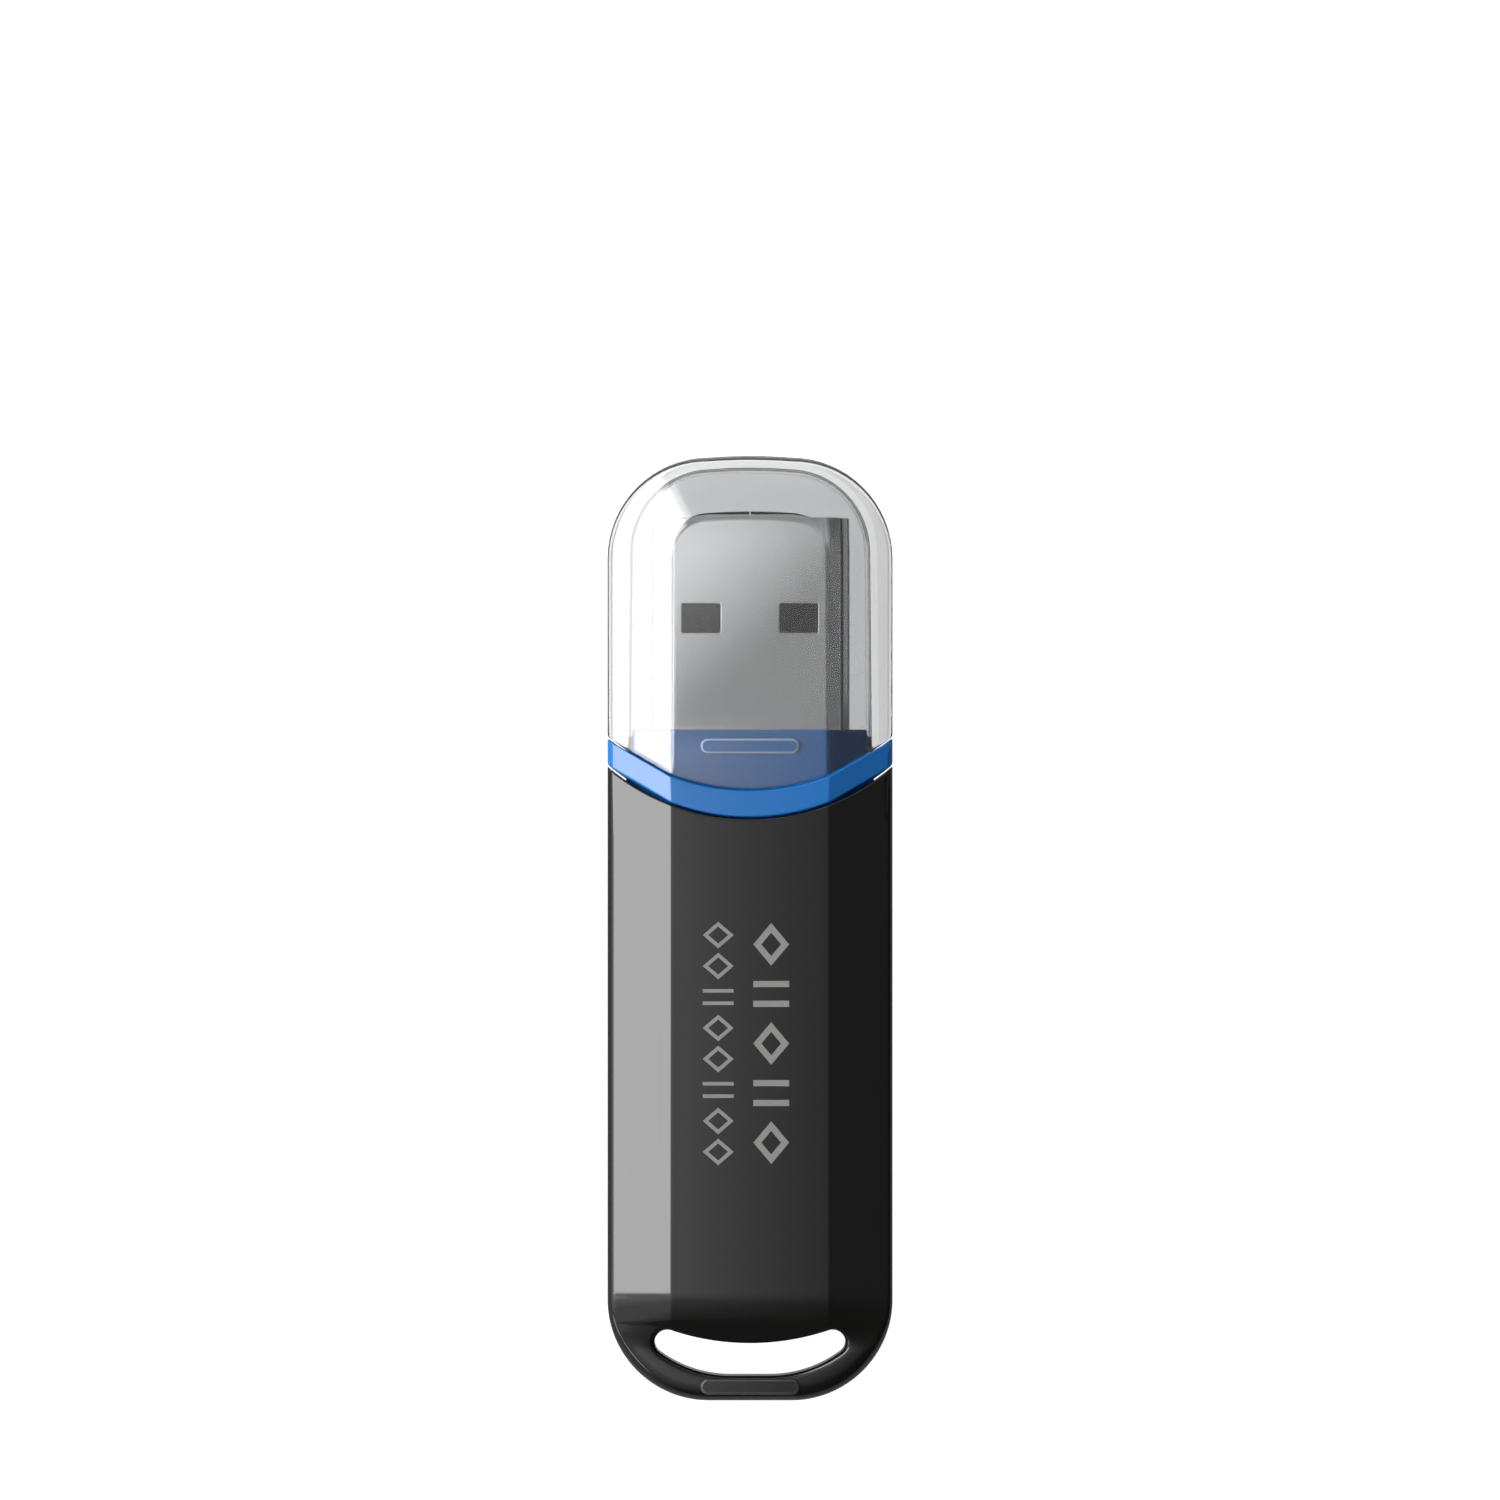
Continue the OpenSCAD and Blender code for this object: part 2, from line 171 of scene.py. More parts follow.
def cover(mesh, material, smooth=True):
    """Gives a mesh one material and smooth or flat shading."""
    for face in mesh.polygons:
        face.use_smooth = smooth
    mesh.materials.clear()
    mesh.materials.append(material)


def add_piece(name, mesh, body, material, smooth=True):
    """Links a mesh as a piece that rides on a body."""
    piece = new_object(name, mesh)
    cover(mesh, material, smooth)
    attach(piece, body)
    return piece


def soften(piece, width, segments, angle):
    """Rounds a piece's sharp edges and keeps its flat faces looking flat."""
    bevel = piece.modifiers.new("edges", "BEVEL")
    bevel.width = width * MM
    bevel.segments = segments
    bevel.limit_method = "ANGLE"
    bevel.angle_limit = radians(angle)
    bevel.miter_outer = "MITER_ARC"
    weigh(piece)


def weigh(piece):
    """Makes the large faces set the shading, so that flats look flat beside their rounded edges."""
    weighted = piece.modifiers.new("normals", "WEIGHTED_NORMAL")
    weighted.keep_sharp = True
    weighted.weight = 60


def grid_faces(rows, columns, offset=0, closed=False):
    """Quads between rows of points that follow each other in one list."""
    faces = []
    for r in range(rows - 1):
        for c in range(columns if closed else columns - 1):
            a = offset + r * columns + c
            b = offset + r * columns + (c + 1) % columns
            faces.append((a, b, b + columns, a + columns))
    return faces


# ---- The bevelled section, shared by the shells, the collar and the cap ----

HALF_STEPS = 14  # points on the upper half of one side of a section
FACET_STEPS = 12  # spans across a facet


def facet_inside(d):
    """Half width of the facet once the section is drawn in by d on every side."""
    return FACET - d * tan(BEVEL / 2)


def side_profile(reach, t, flat, soft):
    """(x, z) points down the right side: crease, bevel, softened edge, wall, and the same below."""
    crease_r = CREASE / tan(BEVEL / 2)
    crease = arc((flat - CREASE, t - crease_r), crease_r, pi / 2, pi / 2 - BEVEL, 3)
    x = reach - soft
    z = t - (x - flat) * tan(BEVEL) - soft / cos(BEVEL)
    edge = arc((x, z), soft, pi / 2 - BEVEL, 0, 8)
    upper = crease + edge + [(reach, z * 0.4)]
    assert len(upper) == HALF_STEPS
    return upper + [(px, -pz) for px, pz in reversed(upper)]


def closed_section(right):
    """Loop round a whole section, from its right side: up the left, over the top, down, and back below."""
    left = [(-x, z) for x, z in reversed(right)]
    x0, top = right[0]
    over = [(x, top) for x in spread(-x0, x0, FACET_STEPS)[1:-1]]
    under = [(x, -top) for x in spread(x0, -x0, FACET_STEPS)[1:-1]]
    return left + over + right + under


def section_loop(reach, t, flat, soft):
    return closed_section(side_profile(reach, t, flat, soft))


def rectangle_loop(half_w, half_h, r):
    """Rounded rectangle with the same number of points, in the same order, as section_loop."""
    upper = arc((half_w - r, half_h - r), r, pi / 2, 0, HALF_STEPS - 1)
    return closed_section(upper + [(x, -z) for x, z in reversed(upper)])


def skin_section(d, soft=EDGE_R):
    """The drive's outer section drawn in by d."""
    return section_loop(HALF_W - d, HALF_T - d, facet_inside(d), soft)


def on_arc(loop, y):
    """Puts a section's points on a curved seam whose middle is at y."""
    return [(x, y + bow(x), z) for x, z in loop]


def on_plane(loop, y):
    return [(x, y, z) for x, z in loop]


# ---- Materials ----


class Nodes:
    """The node tree that the helpers below add to. new_material and studio each start one."""
    tree = None


def feed(socket, value):
    """Gives an input a plain value, or links it to another node's output."""
    if hasattr(value, "links"):
        Nodes.tree.links.new(value, socket)
    else:
        socket.default_value = value


def put(made, **values):
    """Sets a node's inputs by name, or else the node's own properties."""
    for key, value in values.items():
        label = key.replace("_", " ")
        if label in made.inputs:
            feed(made.inputs[label], value)
        else:
            setattr(made, key, value)
    return made


def node(kind, **values):
    return put(Nodes.tree.nodes.new("ShaderNode" + kind), **values)


def new_material(name):
    material = bpy.data.materials.new(name)
    material.use_nodes = True
    Nodes.tree = material.node_tree
    return material, Nodes.tree.nodes["Principled BSDF"]


def place(scale=(1, 1, 1)):
    """Coordinates in the object's own space, stretched by scale."""
    own = node("TexCoord").outputs["Object"]
    return node("Mapping", Scale=scale, Vector=own).outputs["Vector"]


def along(axis):
    """One coordinate of the surface point in the row frame, in metres."""
    return node("SeparateXYZ", Vector=place()).outputs[axis]


def noise(scale, detail, stretch=(1, 1, 1)):
    """Noise that runs along the directions in which it is stretched by less than 1."""
    made = node("TexNoise", Scale=scale, Detail=detail, Vector=place(stretch), Roughness=0.55)
    return made.outputs["Fac"]


def to_range(source, low, high, from_low=0.3, from_high=0.7):
    """Maps a value from one range to another. Most noise lies between 0.3 and 0.7."""
    made = node("MapRange", Value=source, From_Min=from_low, From_Max=from_high,
                To_Min=low, To_Max=high)
    return made.outputs["Result"]


def over_mm(source, start, end, low=0.0, high=1.0):
    """Maps a coordinate between two places in millimetres to a level."""
    return to_range(source, low, high, start * MM, end * MM)


def bump(shader, source, strength, distance):
    """Relief, distance millimetres deep."""
    made = node("Bump", Strength=strength, Distance=distance * MM, Height=source)
    put(shader, Normal=made.outputs["Normal"])


def colour_mix(fac, a, b):
    """Colour a where fac is 0 and b where it is 1; a and b are sockets or RGB values."""
    made = node("Mix", data_type="RGBA", Factor=fac)
    for key, value in (("A", a), ("B", b)):
        socket = [s for s in made.inputs if s.name == key and s.type == "RGBA"][0]
        feed(socket, (*value, 1) if isinstance(value, tuple) else value)
    return [s for s in made.outputs if s.type == "RGBA"][0]


def maths(operation, *values):
    """One arithmetic node, fed with sockets or numbers."""
    made = node("Math", operation=operation)
    for socket, value in zip(made.inputs, values):
        feed(socket, value)
    return made.outputs[0]


def product(*factors):
    result = factors[0]
    for factor in factors[1:]:
        result = maths("MULTIPLY", result, factor)
    return result


def ray_is(kind):
    """1 for rays of one kind, such as Glossy. Bent rays count as both Glossy and Transmission."""
    return node("LightPath").outputs["Is " + kind + " Ray"]


RIB_HIGHLIGHT_INSET = 0.08  # from the rib's outline to the line along which its painted highlight runs
RIB_HIGHLIGHT_FADE = (0.03, 0.09)  # distances from that line over which the painted highlight fades out
BEVEL_FADE = 0.25  # width over which the cap's bevel starts to shade what lies below it
BEVEL_SHADE = 0.7  # how much it takes from a moulding's colour
PLUG_SHADE_X = (5.35, 5.6)  # and where that ends on the plug, at the corner of its sheet


def rib_highlight_mask(y):
    """1 along the edge of the snap rib whose middle lies at y, where a highlight is painted on it."""
    run = (RIB_LENGTH - RIB_WIDTH) / 2 * MM
    from_middle = maths("ABSOLUTE", along("X"))
    past = maths("MAXIMUM", maths("SUBTRACT", from_middle, run), 0.0)
    across = maths("SUBTRACT", along("Y"), y * MM)
    squares = maths("ADD", product(past, past), product(across, across))
    from_axis = maths("SQRT", squares)
    highlight_line = (RIB_WIDTH / 2 - RIB_HIGHLIGHT_INSET) * MM
    gap = maths("ABSOLUTE", maths("SUBTRACT", from_axis, highlight_line))
    return over_mm(gap, *RIB_HIGHLIGHT_FADE, 1.0, 0.0)


def under_bevel():
    """1 where a point is seen through the cap's right bevel, which throws less light on what lies below."""
    beyond = over_mm(along("X"), FACET - BEVEL_FADE, FACET)
    return product(ray_is("Transmission"), beyond)


def moulded_gloss(name, colour, darker, rib_y, highlight_colour, bare):
    """Polished injection moulding: faint waviness, faint haze, fine handling scratches, a painted highlight
    on the rib's edge.

    bare is how strongly that painted highlight shows when the cap, whose wall gathers light on it, isn't over
    it.
    """
    material, shader = new_material(name)
    haze = noise(160, 5, (1, 0.35, 1))
    scratch = to_range(noise(900, 2, (1, 0.03, 1)), 0.0, 0.06, 0.66, 0.72)
    body = colour_mix(noise(55, 3), colour, darker)
    body = colour_mix(product(under_bevel(), BEVEL_SHADE), body, (0.0, 0.0, 0.0))
    # Painted highlight: the rib's edge is lightened towards the given colour, fully where seen through the
    # cap.
    edge = product(rib_highlight_mask(rib_y), to_range(ray_is("Transmission"), bare, 1.0))
    put(shader, IOR=1.5, Base_Color=colour_mix(edge, body, highlight_colour),
        Roughness=maths("ADD", to_range(haze, 0.05, 0.12), scratch))
    bump(shader, noise(420, 2), 0.02, 0.02)
    return material


def plated_steel():
    """Nickel plate over rolled sheet: fine grain along the plug, soft stains, wiping scratches from use."""
    material, shader = new_material("plated_steel")
    grain = noise(900, 6, (1, 0.04, 1))
    wiped = to_range(noise(2200, 3, (1, 0.015, 1)), 0.0, 0.08, 0.62, 0.7)
    plate = colour_mix(noise(120, 3), (0.62, 0.62, 0.62), (0.59, 0.592, 0.595))
    before_corner = over_mm(along("X"), *PLUG_SHADE_X, 1.0, 0.0)
    shaded = product(under_bevel(), before_corner)
    put(shader, Metallic=1.0, Base_Color=colour_mix(shaded, plate, (0.24, 0.24, 0.242)),
        Roughness=maths("ADD", to_range(grain, 0.07, 0.11), wiped))
    bump(shader, grain, 0.04, 0.008)
    return material


def clear_plastic():
    """Clear polycarbonate with a faint surface haze. Shadows and bounced light pass through it."""
    material, shader = new_material("clear_plastic")
    wave = noise(90, 2, (1, 0.5, 1))
    put(shader, Base_Color=(0.775, 0.78, 0.785, 1), Transmission_Weight=1.0, IOR=1.58,
        Roughness=to_range(wave, 0.0, 0.02))
    bump(shader, wave, 0.02, 0.02)
    film = node("BsdfDiffuse", Color=(0.9, 0.9, 0.9, 1))
    film_cover = to_range(noise(35, 5), 0.006, 0.013)
    hazed = blend(film_cover, shader.outputs["BSDF"], film.outputs["BSDF"])
    through = node("BsdfTransparent", Color=(0.8, 0.8, 0.8, 1))
    passes = maths("MAXIMUM", ray_is("Shadow"), ray_is("Diffuse"))
    put(Nodes.tree.nodes["Material Output"], Surface=blend(passes, hazed, through.outputs["BSDF"]))
    return material


def blend(fac, first, second):
    """Mixes two shaders."""
    made = node("MixShader", Fac=fac)
    feed(made.inputs[1], first)
    feed(made.inputs[2], second)
    return made.outputs["Shader"]


def grained(name, colour, darker, low, high, scale, metallic=0.0, bumpy=0.05, specular=0.5):
    """A surface with one scale of grain in its colour, gloss and relief, over slow changes of tone."""
    material, shader = new_material(name)
    grain = noise(scale, 6)
    tone = colour_mix(noise(scale / 8, 3), colour, darker)
    put(shader, Metallic=metallic, Specular_IOR_Level=specular, Roughness=to_range(grain, low, high),
        Base_Color=colour_mix(to_range(grain, 0, 0.5), tone, darker))
    bump(shader, grain, bumpy, 0.02)
    return material


def solder_mask():
    """Green mask over copper: fine traces and pads show through as lighter, raised lines."""
    material, shader = new_material("solder_mask")
    lines = node("TexVoronoi", Scale=420.0, feature="DISTANCE_TO_EDGE", distance="CHEBYCHEV",
                 Vector=place((1, 0.6, 1)))
    copper = to_range(lines.outputs["Distance"], 1.0, 0.0, 0.05, 0.09)
    mottled = colour_mix(noise(260, 4), (0.006, 0.085, 0.032), (0.004, 0.06, 0.024))
    put(shader, Base_Color=colour_mix(copper, mottled, (0.02, 0.17, 0.06)),
        Roughness=to_range(noise(900, 4), 0.2, 0.36))
    bump(shader, copper, 0.4, 0.03)
    return material


def chip_resin():
    """Matt moulding compound: fine sparkle from the mould, and a satin gloss that varies across it."""
    material, shader = new_material("chip_resin")
    grit = noise(5200, 3)
    put(shader, Base_Color=colour_mix(grit, (0.017, 0.017, 0.019), (0.03, 0.03, 0.032)),
        Roughness=to_range(noise(300, 4), 0.45, 0.62))
    bump(shader, grit, 0.25, 0.01)
    return material


def end_capped(name, body, darker, middles, reach, axis="Y"):
    """Ceramic chip part with tinned ends: tin wherever a point is further than reach from a part's middle."""
    material, shader = new_material(name)
    position = along(axis)
    gaps = [maths("ABSOLUTE", maths("SUBTRACT", position, middle * MM)) for middle in middles]
    nearest = gaps[0] if len(gaps) == 1 else maths("MINIMUM", *gaps)
    tinned = maths("GREATER_THAN", nearest, reach * MM)
    grain = noise(1800, 4)
    ceramic = colour_mix(grain, body, darker)
    put(shader, Base_Color=colour_mix(tinned, ceramic, (0.68, 0.68, 0.67)), Metallic=tinned,
        Roughness=to_range(grain, 0.22, 0.4))
    bump(shader, grain, 0.12, 0.02)
    return material


CRYSTAL_BASE = 0.52  # height of the crystal's ceramic base


def crystal_case():
    """Metal lid, brushed along its length, over a pale ceramic base."""
    material, shader = new_material("crystal_case")
    base = maths("LESS_THAN", along("Z"), (box_mm("crystal")[0].z + CRYSTAL_BASE) * MM)
    brushed = noise(2600, 4, (0.05, 1, 1))
    lid = colour_mix(brushed, (0.72, 0.71, 0.68), (0.58, 0.57, 0.54))
    put(shader, Base_Color=colour_mix(base, lid, (0.55, 0.48, 0.34)),
        Metallic=maths("SUBTRACT", 1.0, base), Roughness=to_range(brushed, 0.2, 0.36))
    bump(shader, brushed, 0.1, 0.01)
    return material


def middle_of(node_name, axis="y"):
    low, high = box_mm(node_name)
    return (getattr(low, axis) + getattr(high, axis)) / 2


capacitor_low, capacitor_high = box_mm("capacitors")
CHIP_HALF = 0.8  # half the length of a small chip part
CHIP_CERAMIC = 0.46  # from a part's middle to where its tin starts
BULK_CERAMIC = 0.96
FERRITE_CERAMIC = 0.6

materials = {
    # Each moulding's last two arguments: the colour of the painted highlight along its rib's edge, and how
    # strongly it shows without the cap over it.
    "black": moulded_gloss("black_plastic", (0.0078, 0.0076, 0.0072), (0.0056, 0.0055, 0.0052),
                           TAIL_Y + TAIL_RIB_SETBACK, (0.05, 0.05, 0.049), 1.0),
    "blue": moulded_gloss("blue_plastic", (0.0098, 0.137, 0.428), (0.0085, 0.125, 0.4),
                          collar_high.y - RIB_SETBACK, (0.42, 0.56, 0.75), 0.1),
    "steel": plated_steel(),
    "clear": clear_plastic(),
    "insulator": grained("insulator", (0.005, 0.005, 0.005), (0.0025, 0.0025, 0.0025), 0.5, 0.65, 700,
                         specular=0.1),
    "gold": grained("gold", (0.83, 0.58, 0.2), (0.7, 0.46, 0.14), 0.15, 0.3, 500, 1.0),
    "solder": grained("solder", (0.72, 0.72, 0.73), (0.5, 0.5, 0.51), 0.12, 0.34, 420, 1.0, 0.2),
    "tin": grained("tinned_leads", (0.7, 0.7, 0.69), (0.56, 0.56, 0.56), 0.25, 0.42, 1500, 1.0),
    "board": solder_mask(),
    "resin": chip_resin(),
    "crystal": crystal_case(),
    "bulk": end_capped("bulk_capacitor", (0.45, 0.31, 0.17), (0.36, 0.24, 0.12),
                       [middle_of("bulk_capacitor", "x")], BULK_CERAMIC, "X"),
    "capacitor": end_capped("capacitor_ceramic", (0.4, 0.28, 0.15), (0.32, 0.21, 0.1),
                            [capacitor_low.y + CHIP_HALF, capacitor_high.y - CHIP_HALF], CHIP_CERAMIC),
    "resistor": end_capped("resistor_ceramic", (0.015, 0.015, 0.017), (0.025, 0.025, 0.027),
                           [middle_of("resistors")], CHIP_CERAMIC),
    "ferrite": end_capped("ferrite", (0.06, 0.06, 0.063), (0.04, 0.04, 0.042),
                          [middle_of("ferrite_bead", "x")], FERRITE_CERAMIC, "X"),
    "print": grained("print_ink", (0.215, 0.212, 0.206), (0.2, 0.197, 0.192), 0.35, 0.5, 900),
}

# ---- Cap ----


def u_path(half, r, tip):
    """Outline of one level of the cap, from the mouth's left edge round the tip to its right edge."""
    left = [(-half, y) for y in spread(CAP_MOUTH + bow(half), tip - r, 12)]
    corner = arc((-(half - r), tip - r), r, pi, pi / 2, 16)[1:]
    run = half - r
    end = [(x, tip + TIP_CROWN * (1 - (x / run) ** 2)) for x in spread(-run, run, 10)[1:-1]]
    path = left + corner + end
    return path + [(-x, y) for x, y in reversed(left + corner)]


def cap_skin(reach, t, flat, r, tip, draft):
    """Points and faces of one skin of the cap, and the loop of points round its mouth."""
    profile = side_profile(reach, t, flat, EDGE_R)
    verts = []
    for x, z in profile:
        d = reach - x
        for px, py in u_path(x, r - d, tip - d):
            shrink = 1 - draft * max(0.0, py - CAP_MOUTH) / 10
            verts.append((px * shrink, py, z * shrink))
    rows = len(profile)
    columns = len(verts) // rows
    faces = grid_faces(rows, columns)
    lips = []
    for row, sign in ((0, 1), (rows - 1, -1)):
        first = row * columns
        start = len(verts)
        x0 = profile[row][0]
        for x in spread(-x0, x0, FACET_STEPS)[1:-1]:
            verts.append((x, CAP_MOUTH + bow(x), sign * t))
        lip = list(range(start, len(verts)))
        lips.append(lip)
        faces.append([first + c for c in range(columns)] + lip[::-1])
    left = [row * columns for row in reversed(range(rows))]
    right = [row * columns + columns - 1 for row in range(rows)]
    return verts, faces, left + lips[0] + right + lips[1][::-1]


def build_cap():
    """Outer and inner skin, joined round the mouth."""
    in_flat = facet_inside(HALF_T - CAP_IN_HALF_T)
    verts, faces, rim = cap_skin(HALF_W, HALF_T, FACET, CORNER_R, TIP_Y, 0)
    shift = len(verts)
    inner_verts, inner_faces, inner_rim = cap_skin(CAP_IN_HALF_W, CAP_IN_HALF_T, in_flat, CAP_IN_CORNER_R,
                                                   TIP_Y - CAP_END_WALL, CAP_DRAFT)
    faces += [[i + shift for i in f] for f in inner_faces]
    for i in range(len(rim)):
        faces.append((rim[i - 1], rim[i], inner_rim[i] + shift, inner_rim[i - 1] + shift))
    piece = mesh_piece("clear_cap", verts + inner_verts, faces, "cap", materials["clear"])
    soften(piece, 0.1, 3, 40)
    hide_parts("cap")


# ---- Collar ----


SPIGOT_SLIP = 0.04  # between the collar's spigot and the shells' walls
SPIGOT_EDGE_R = 0.2
BOSS_SIDE_R = 0.3
BOSS_EDGE_R = 0.2
FOOT_R = 0.3  # fillet between the band's ledge and the boss
GROOVE_R = 0.14  # softened edges of the band
PLUG_SLIP = 0.02
OPENING_R = 0.6


def build_collar():
    """Rings of points along the drive: spigot, band, ledge, boss, and back through the plug's opening."""
    boss_flat = facet_inside(HALF_T - BOSS_HALF_T)

    def boss(o):
        return section_loop(BOSS_HALF_W + o, BOSS_HALF_T + o, boss_flat, BOSS_SIDE_R + o)

    def curve(r, steps, backwards=False):
        """(distance in, distance on) down a quarter turn of radius r."""
        turns = spread(pi / 2, 0, steps) if backwards else spread(0, pi / 2, steps)
        return [(r * (1 - sin(a)), r * (1 - cos(a))) for a in turns]

    opening = rectangle_loop(PLUG_HALF_W + PLUG_SLIP, PLUG_HALF_T + PLUG_SLIP, OPENING_R)
    spigot = skin_section(SHELL_WALL + SPIGOT_SLIP, SPIGOT_EDGE_R)
    rings = [on_plane(spigot, collar_low.y), on_arc(spigot, BAND_REAR)]
    rings += [on_arc(skin_section(d), BAND_REAR + on) for d, on in curve(GROOVE_R, 4)]
    rings += [on_arc(skin_section(d), LEDGE - on) for d, on in curve(GROOVE_R, 4, True)]
    rings += [on_arc(boss(d), LEDGE + on) for d, on in curve(FOOT_R, 6)]
    rings += [on_plane(boss(-on), collar_high.y - d) for d, on in curve(BOSS_EDGE_R, 4)]
    rings += [on_plane(opening, collar_high.y), on_plane(opening, collar_low.y)]
    columns = len(rings[0])
    verts = [p for ring in rings for p in ring]
    faces = grid_faces(len(rings), columns, 0, True)
    last = (len(rings) - 1) * columns
    for c in range(columns):
        faces.append((last + c, last + (c + 1) % columns, (c + 1) % columns, c))
    add_ribs(verts, faces, collar_high.y - RIB_SETBACK, BOSS_HALF_T, (1, -1))
    piece = mesh_piece("blue_collar", verts, faces, "drive", materials["blue"])
    weigh(piece)
    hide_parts("collar")


def pill(inset, steps=10):
    """Outline of the round-ended snap rib, drawn in by inset."""
    r = RIB_WIDTH / 2
    right = arc((RIB_LENGTH / 2 - r, 0), r - inset, -pi / 2, pi / 2, steps)
    return right + [(-x, -y) for x, y in right]


RIB_SOFT = 0.14  # rounding of the rib's top edge
RIB_ROOT = 0.1  # how deep the rib is sunk into its face


def add_ribs(verts, faces, y, z, sides):
    """Low round-ended bars that stand on the faces at height z."""
    top = z + RIB_HEIGHT - RIB_SOFT
    levels = [(0, z - RIB_ROOT)] + [(RIB_SOFT * (1 - sin(a)), top + RIB_SOFT * cos(a))
                                    for a in spread(pi / 2, 0, 4)]
    columns = len(pill(0))
    last = (len(levels) - 1) * columns
    for side in sides:
        start = len(verts)
        for inset, height in levels:
            verts += [(px, y + py, side * height) for px, py in pill(inset)]
        faces += grid_faces(len(levels), columns, start, True)
        faces += [[start + level + c for c in range(columns)] for level in (0, last)]


# ---- Shells ----

SLOPE_TURN = SLOPE_R * sin(SLOPE_ANGLE)
SLOPE_BASE = SLOPE_R * (1 - cos(SLOPE_ANGLE))
TAIL_DROP = SLOPE_BASE + (SLOPE_START - SLOPE_TURN - LOOP_TOP) * tan(SLOPE_ANGLE)
FOOT_BLEND = 0.3


def tail_fall(y):
    """How far the middle of the face has fallen at y: a curve, a slope and a soft foot on the flat bar."""
    run = SLOPE_START - y
    if run <= 0:
        return 0.0
    if run < SLOPE_TURN:
        return bow(run, SLOPE_R)
    fall = SLOPE_BASE + (run - SLOPE_TURN) * tan(SLOPE_ANGLE)
    blend = max(0.0, FOOT_BLEND - abs(fall - TAIL_DROP)) / FOOT_BLEND
    return min(fall, TAIL_DROP) - blend * blend * FOOT_BLEND / 4


def face_height(x, y):
    """Height of the shell's face above the middle plane, before its edges are rounded."""
    over = abs(x) - (FACET - CREASE)
    if over <= 0:
        z = HALF_T
    elif over < CREASE * (1 + cos(BEVEL)):
        z = HALF_T - bow(over, CREASE / tan(BEVEL / 2))
    else:
        z = HALF_T - (abs(x) - FACET) * tan(BEVEL)
    tail_top = HALF_T - TAIL_DROP
    return z - (z - tail_top) * tail_fall(y) / TAIL_DROP


def outline_distance(x, y):
    """Distance in from the shell's side walls and tail, and the direction out."""
    qx = abs(x) - (HALF_W - CORNER_R)
    qy = TAIL_Y + CORNER_R - y
    sign = 1 if x >= 0 else -1
    if qx > 0 and qy > 0:
        n = hypot(qx, qy)
        return CORNER_R - n, (sign * qx / n, -qy / n)
    if qx > qy:
        return CORNER_R - qx, (sign, 0)
    return CORNER_R - qy, (0, -1)


def circle_meet(a, ra, b, rb):
    """Where two circles cross, on the side towards +X."""
    a, b = np.array(a), np.array(b)
    gap = np.linalg.norm(b - a)
    along = (b - a) / gap
    reach = (ra * ra - rb * rb + gap * gap) / (2 * gap)
    return a + along * reach + np.array((-along[1], along[0])) * sqrt(ra * ra - reach * reach)


def loop_outline(e, fine=1):
    """Outline of the lanyard hole grown by e."""
    top = (0, LOOP_TOP + LOOP_R)
    corner = (LOOP_CORNER_X, TAIL_Y + LOOP_BAR + LOOP_CORNER_R)
    tip = circle_meet(top, LOOP_R + LOOP_TIP_R, corner, LOOP_CORNER_R - LOOP_TIP_R)
    lean = atan2(tip[0], top[1] - tip[1])
    turn = atan2(tip[1] - corner[1], tip[0] - corner[0])
    over = arc(top, LOOP_R - e, -pi / 2 - lean, -pi / 2 + lean, 24 * fine)[1:-1]
    right = arc(tip, LOOP_TIP_R + e, pi / 2 + lean, turn, 14 * fine)
    right += arc(corner, LOOP_CORNER_R + e, turn, -pi / 2, 14 * fine)[1:]
    return over + right + [(-x, y) for x, y in reversed(right)]


LOOP = np.array(loop_outline(0, 3))


def loop_distance(x, y):
    """Distance from the lanyard hole's edge, negative inside it, and the direction towards it."""
    p = np.array((x, y))
    a, b = LOOP, np.roll(LOOP, -1, 0)
    ab = b - a
    t = np.clip(((p - a) * ab).sum(1) / (ab * ab).sum(1), 0, 1)
    near = a + ab * t[:, None]
    gap = np.linalg.norm(near - p, axis=1)
    i = int(gap.argmin())
    spans = (a[:, 1] > y) != (b[:, 1] > y)
    crossing = a[:, 0] + ab[:, 0] * (y - a[:, 1]) / (ab[:, 1] + 1e-12)
    inside = (spans & (x < crossing)).sum() % 2
    d = float(gap[i])
    towards = tuple((near[i] - p) / d) if d > 1e-9 else (0.0, 0.0)
    return (-d if inside else d), towards


def seam_distance(x, y):
    """Distance behind the shells' curved front edge, and the direction towards it."""
    centre_y = SHELL_SEAM + SEAM_R
    n = hypot(x, y - centre_y)
    return n - SEAM_R, (-x / n, (centre_y - y) / n)


LOOP_EDGE_R = 0.35
SEAM_EDGE_R = 0.14
TAIL_EDGE_R = 0.95
TAIL_EDGE_Y = (-23.4, -27)  # where the outer edge's rounding starts and stops growing to it
TAIL_RING_Y = -24.6  # lines of the plan follow that larger rounding beyond this
TAIL_RINGS = (0.64, 0.79, TAIL_EDGE_R)
EDGE_REACH = 0.006  # plan points this close to an edge belong on it
PLAN_EPSILON = 0.012  # and points this close to each other are one
PAST_EDGE = 0.5  # how far lines run past the outline they end on
PROBE = 0.02  # step over which the face's slope is measured


def outline_radius(y):
    """Rounding of the outer edge: small along the body, larger round the tail's bar."""
    start, end = TAIL_EDGE_Y
    t = min(1.0, max(0.0, (start - y) / (start - end)))
    return EDGE_R + (TAIL_EDGE_R - EDGE_R) * t * t * (3 - 2 * t)


ROUNDINGS = ((outline_distance, outline_radius), (loop_distance, lambda y: LOOP_EDGE_R),
             (seam_distance, lambda y: SEAM_EDGE_R))


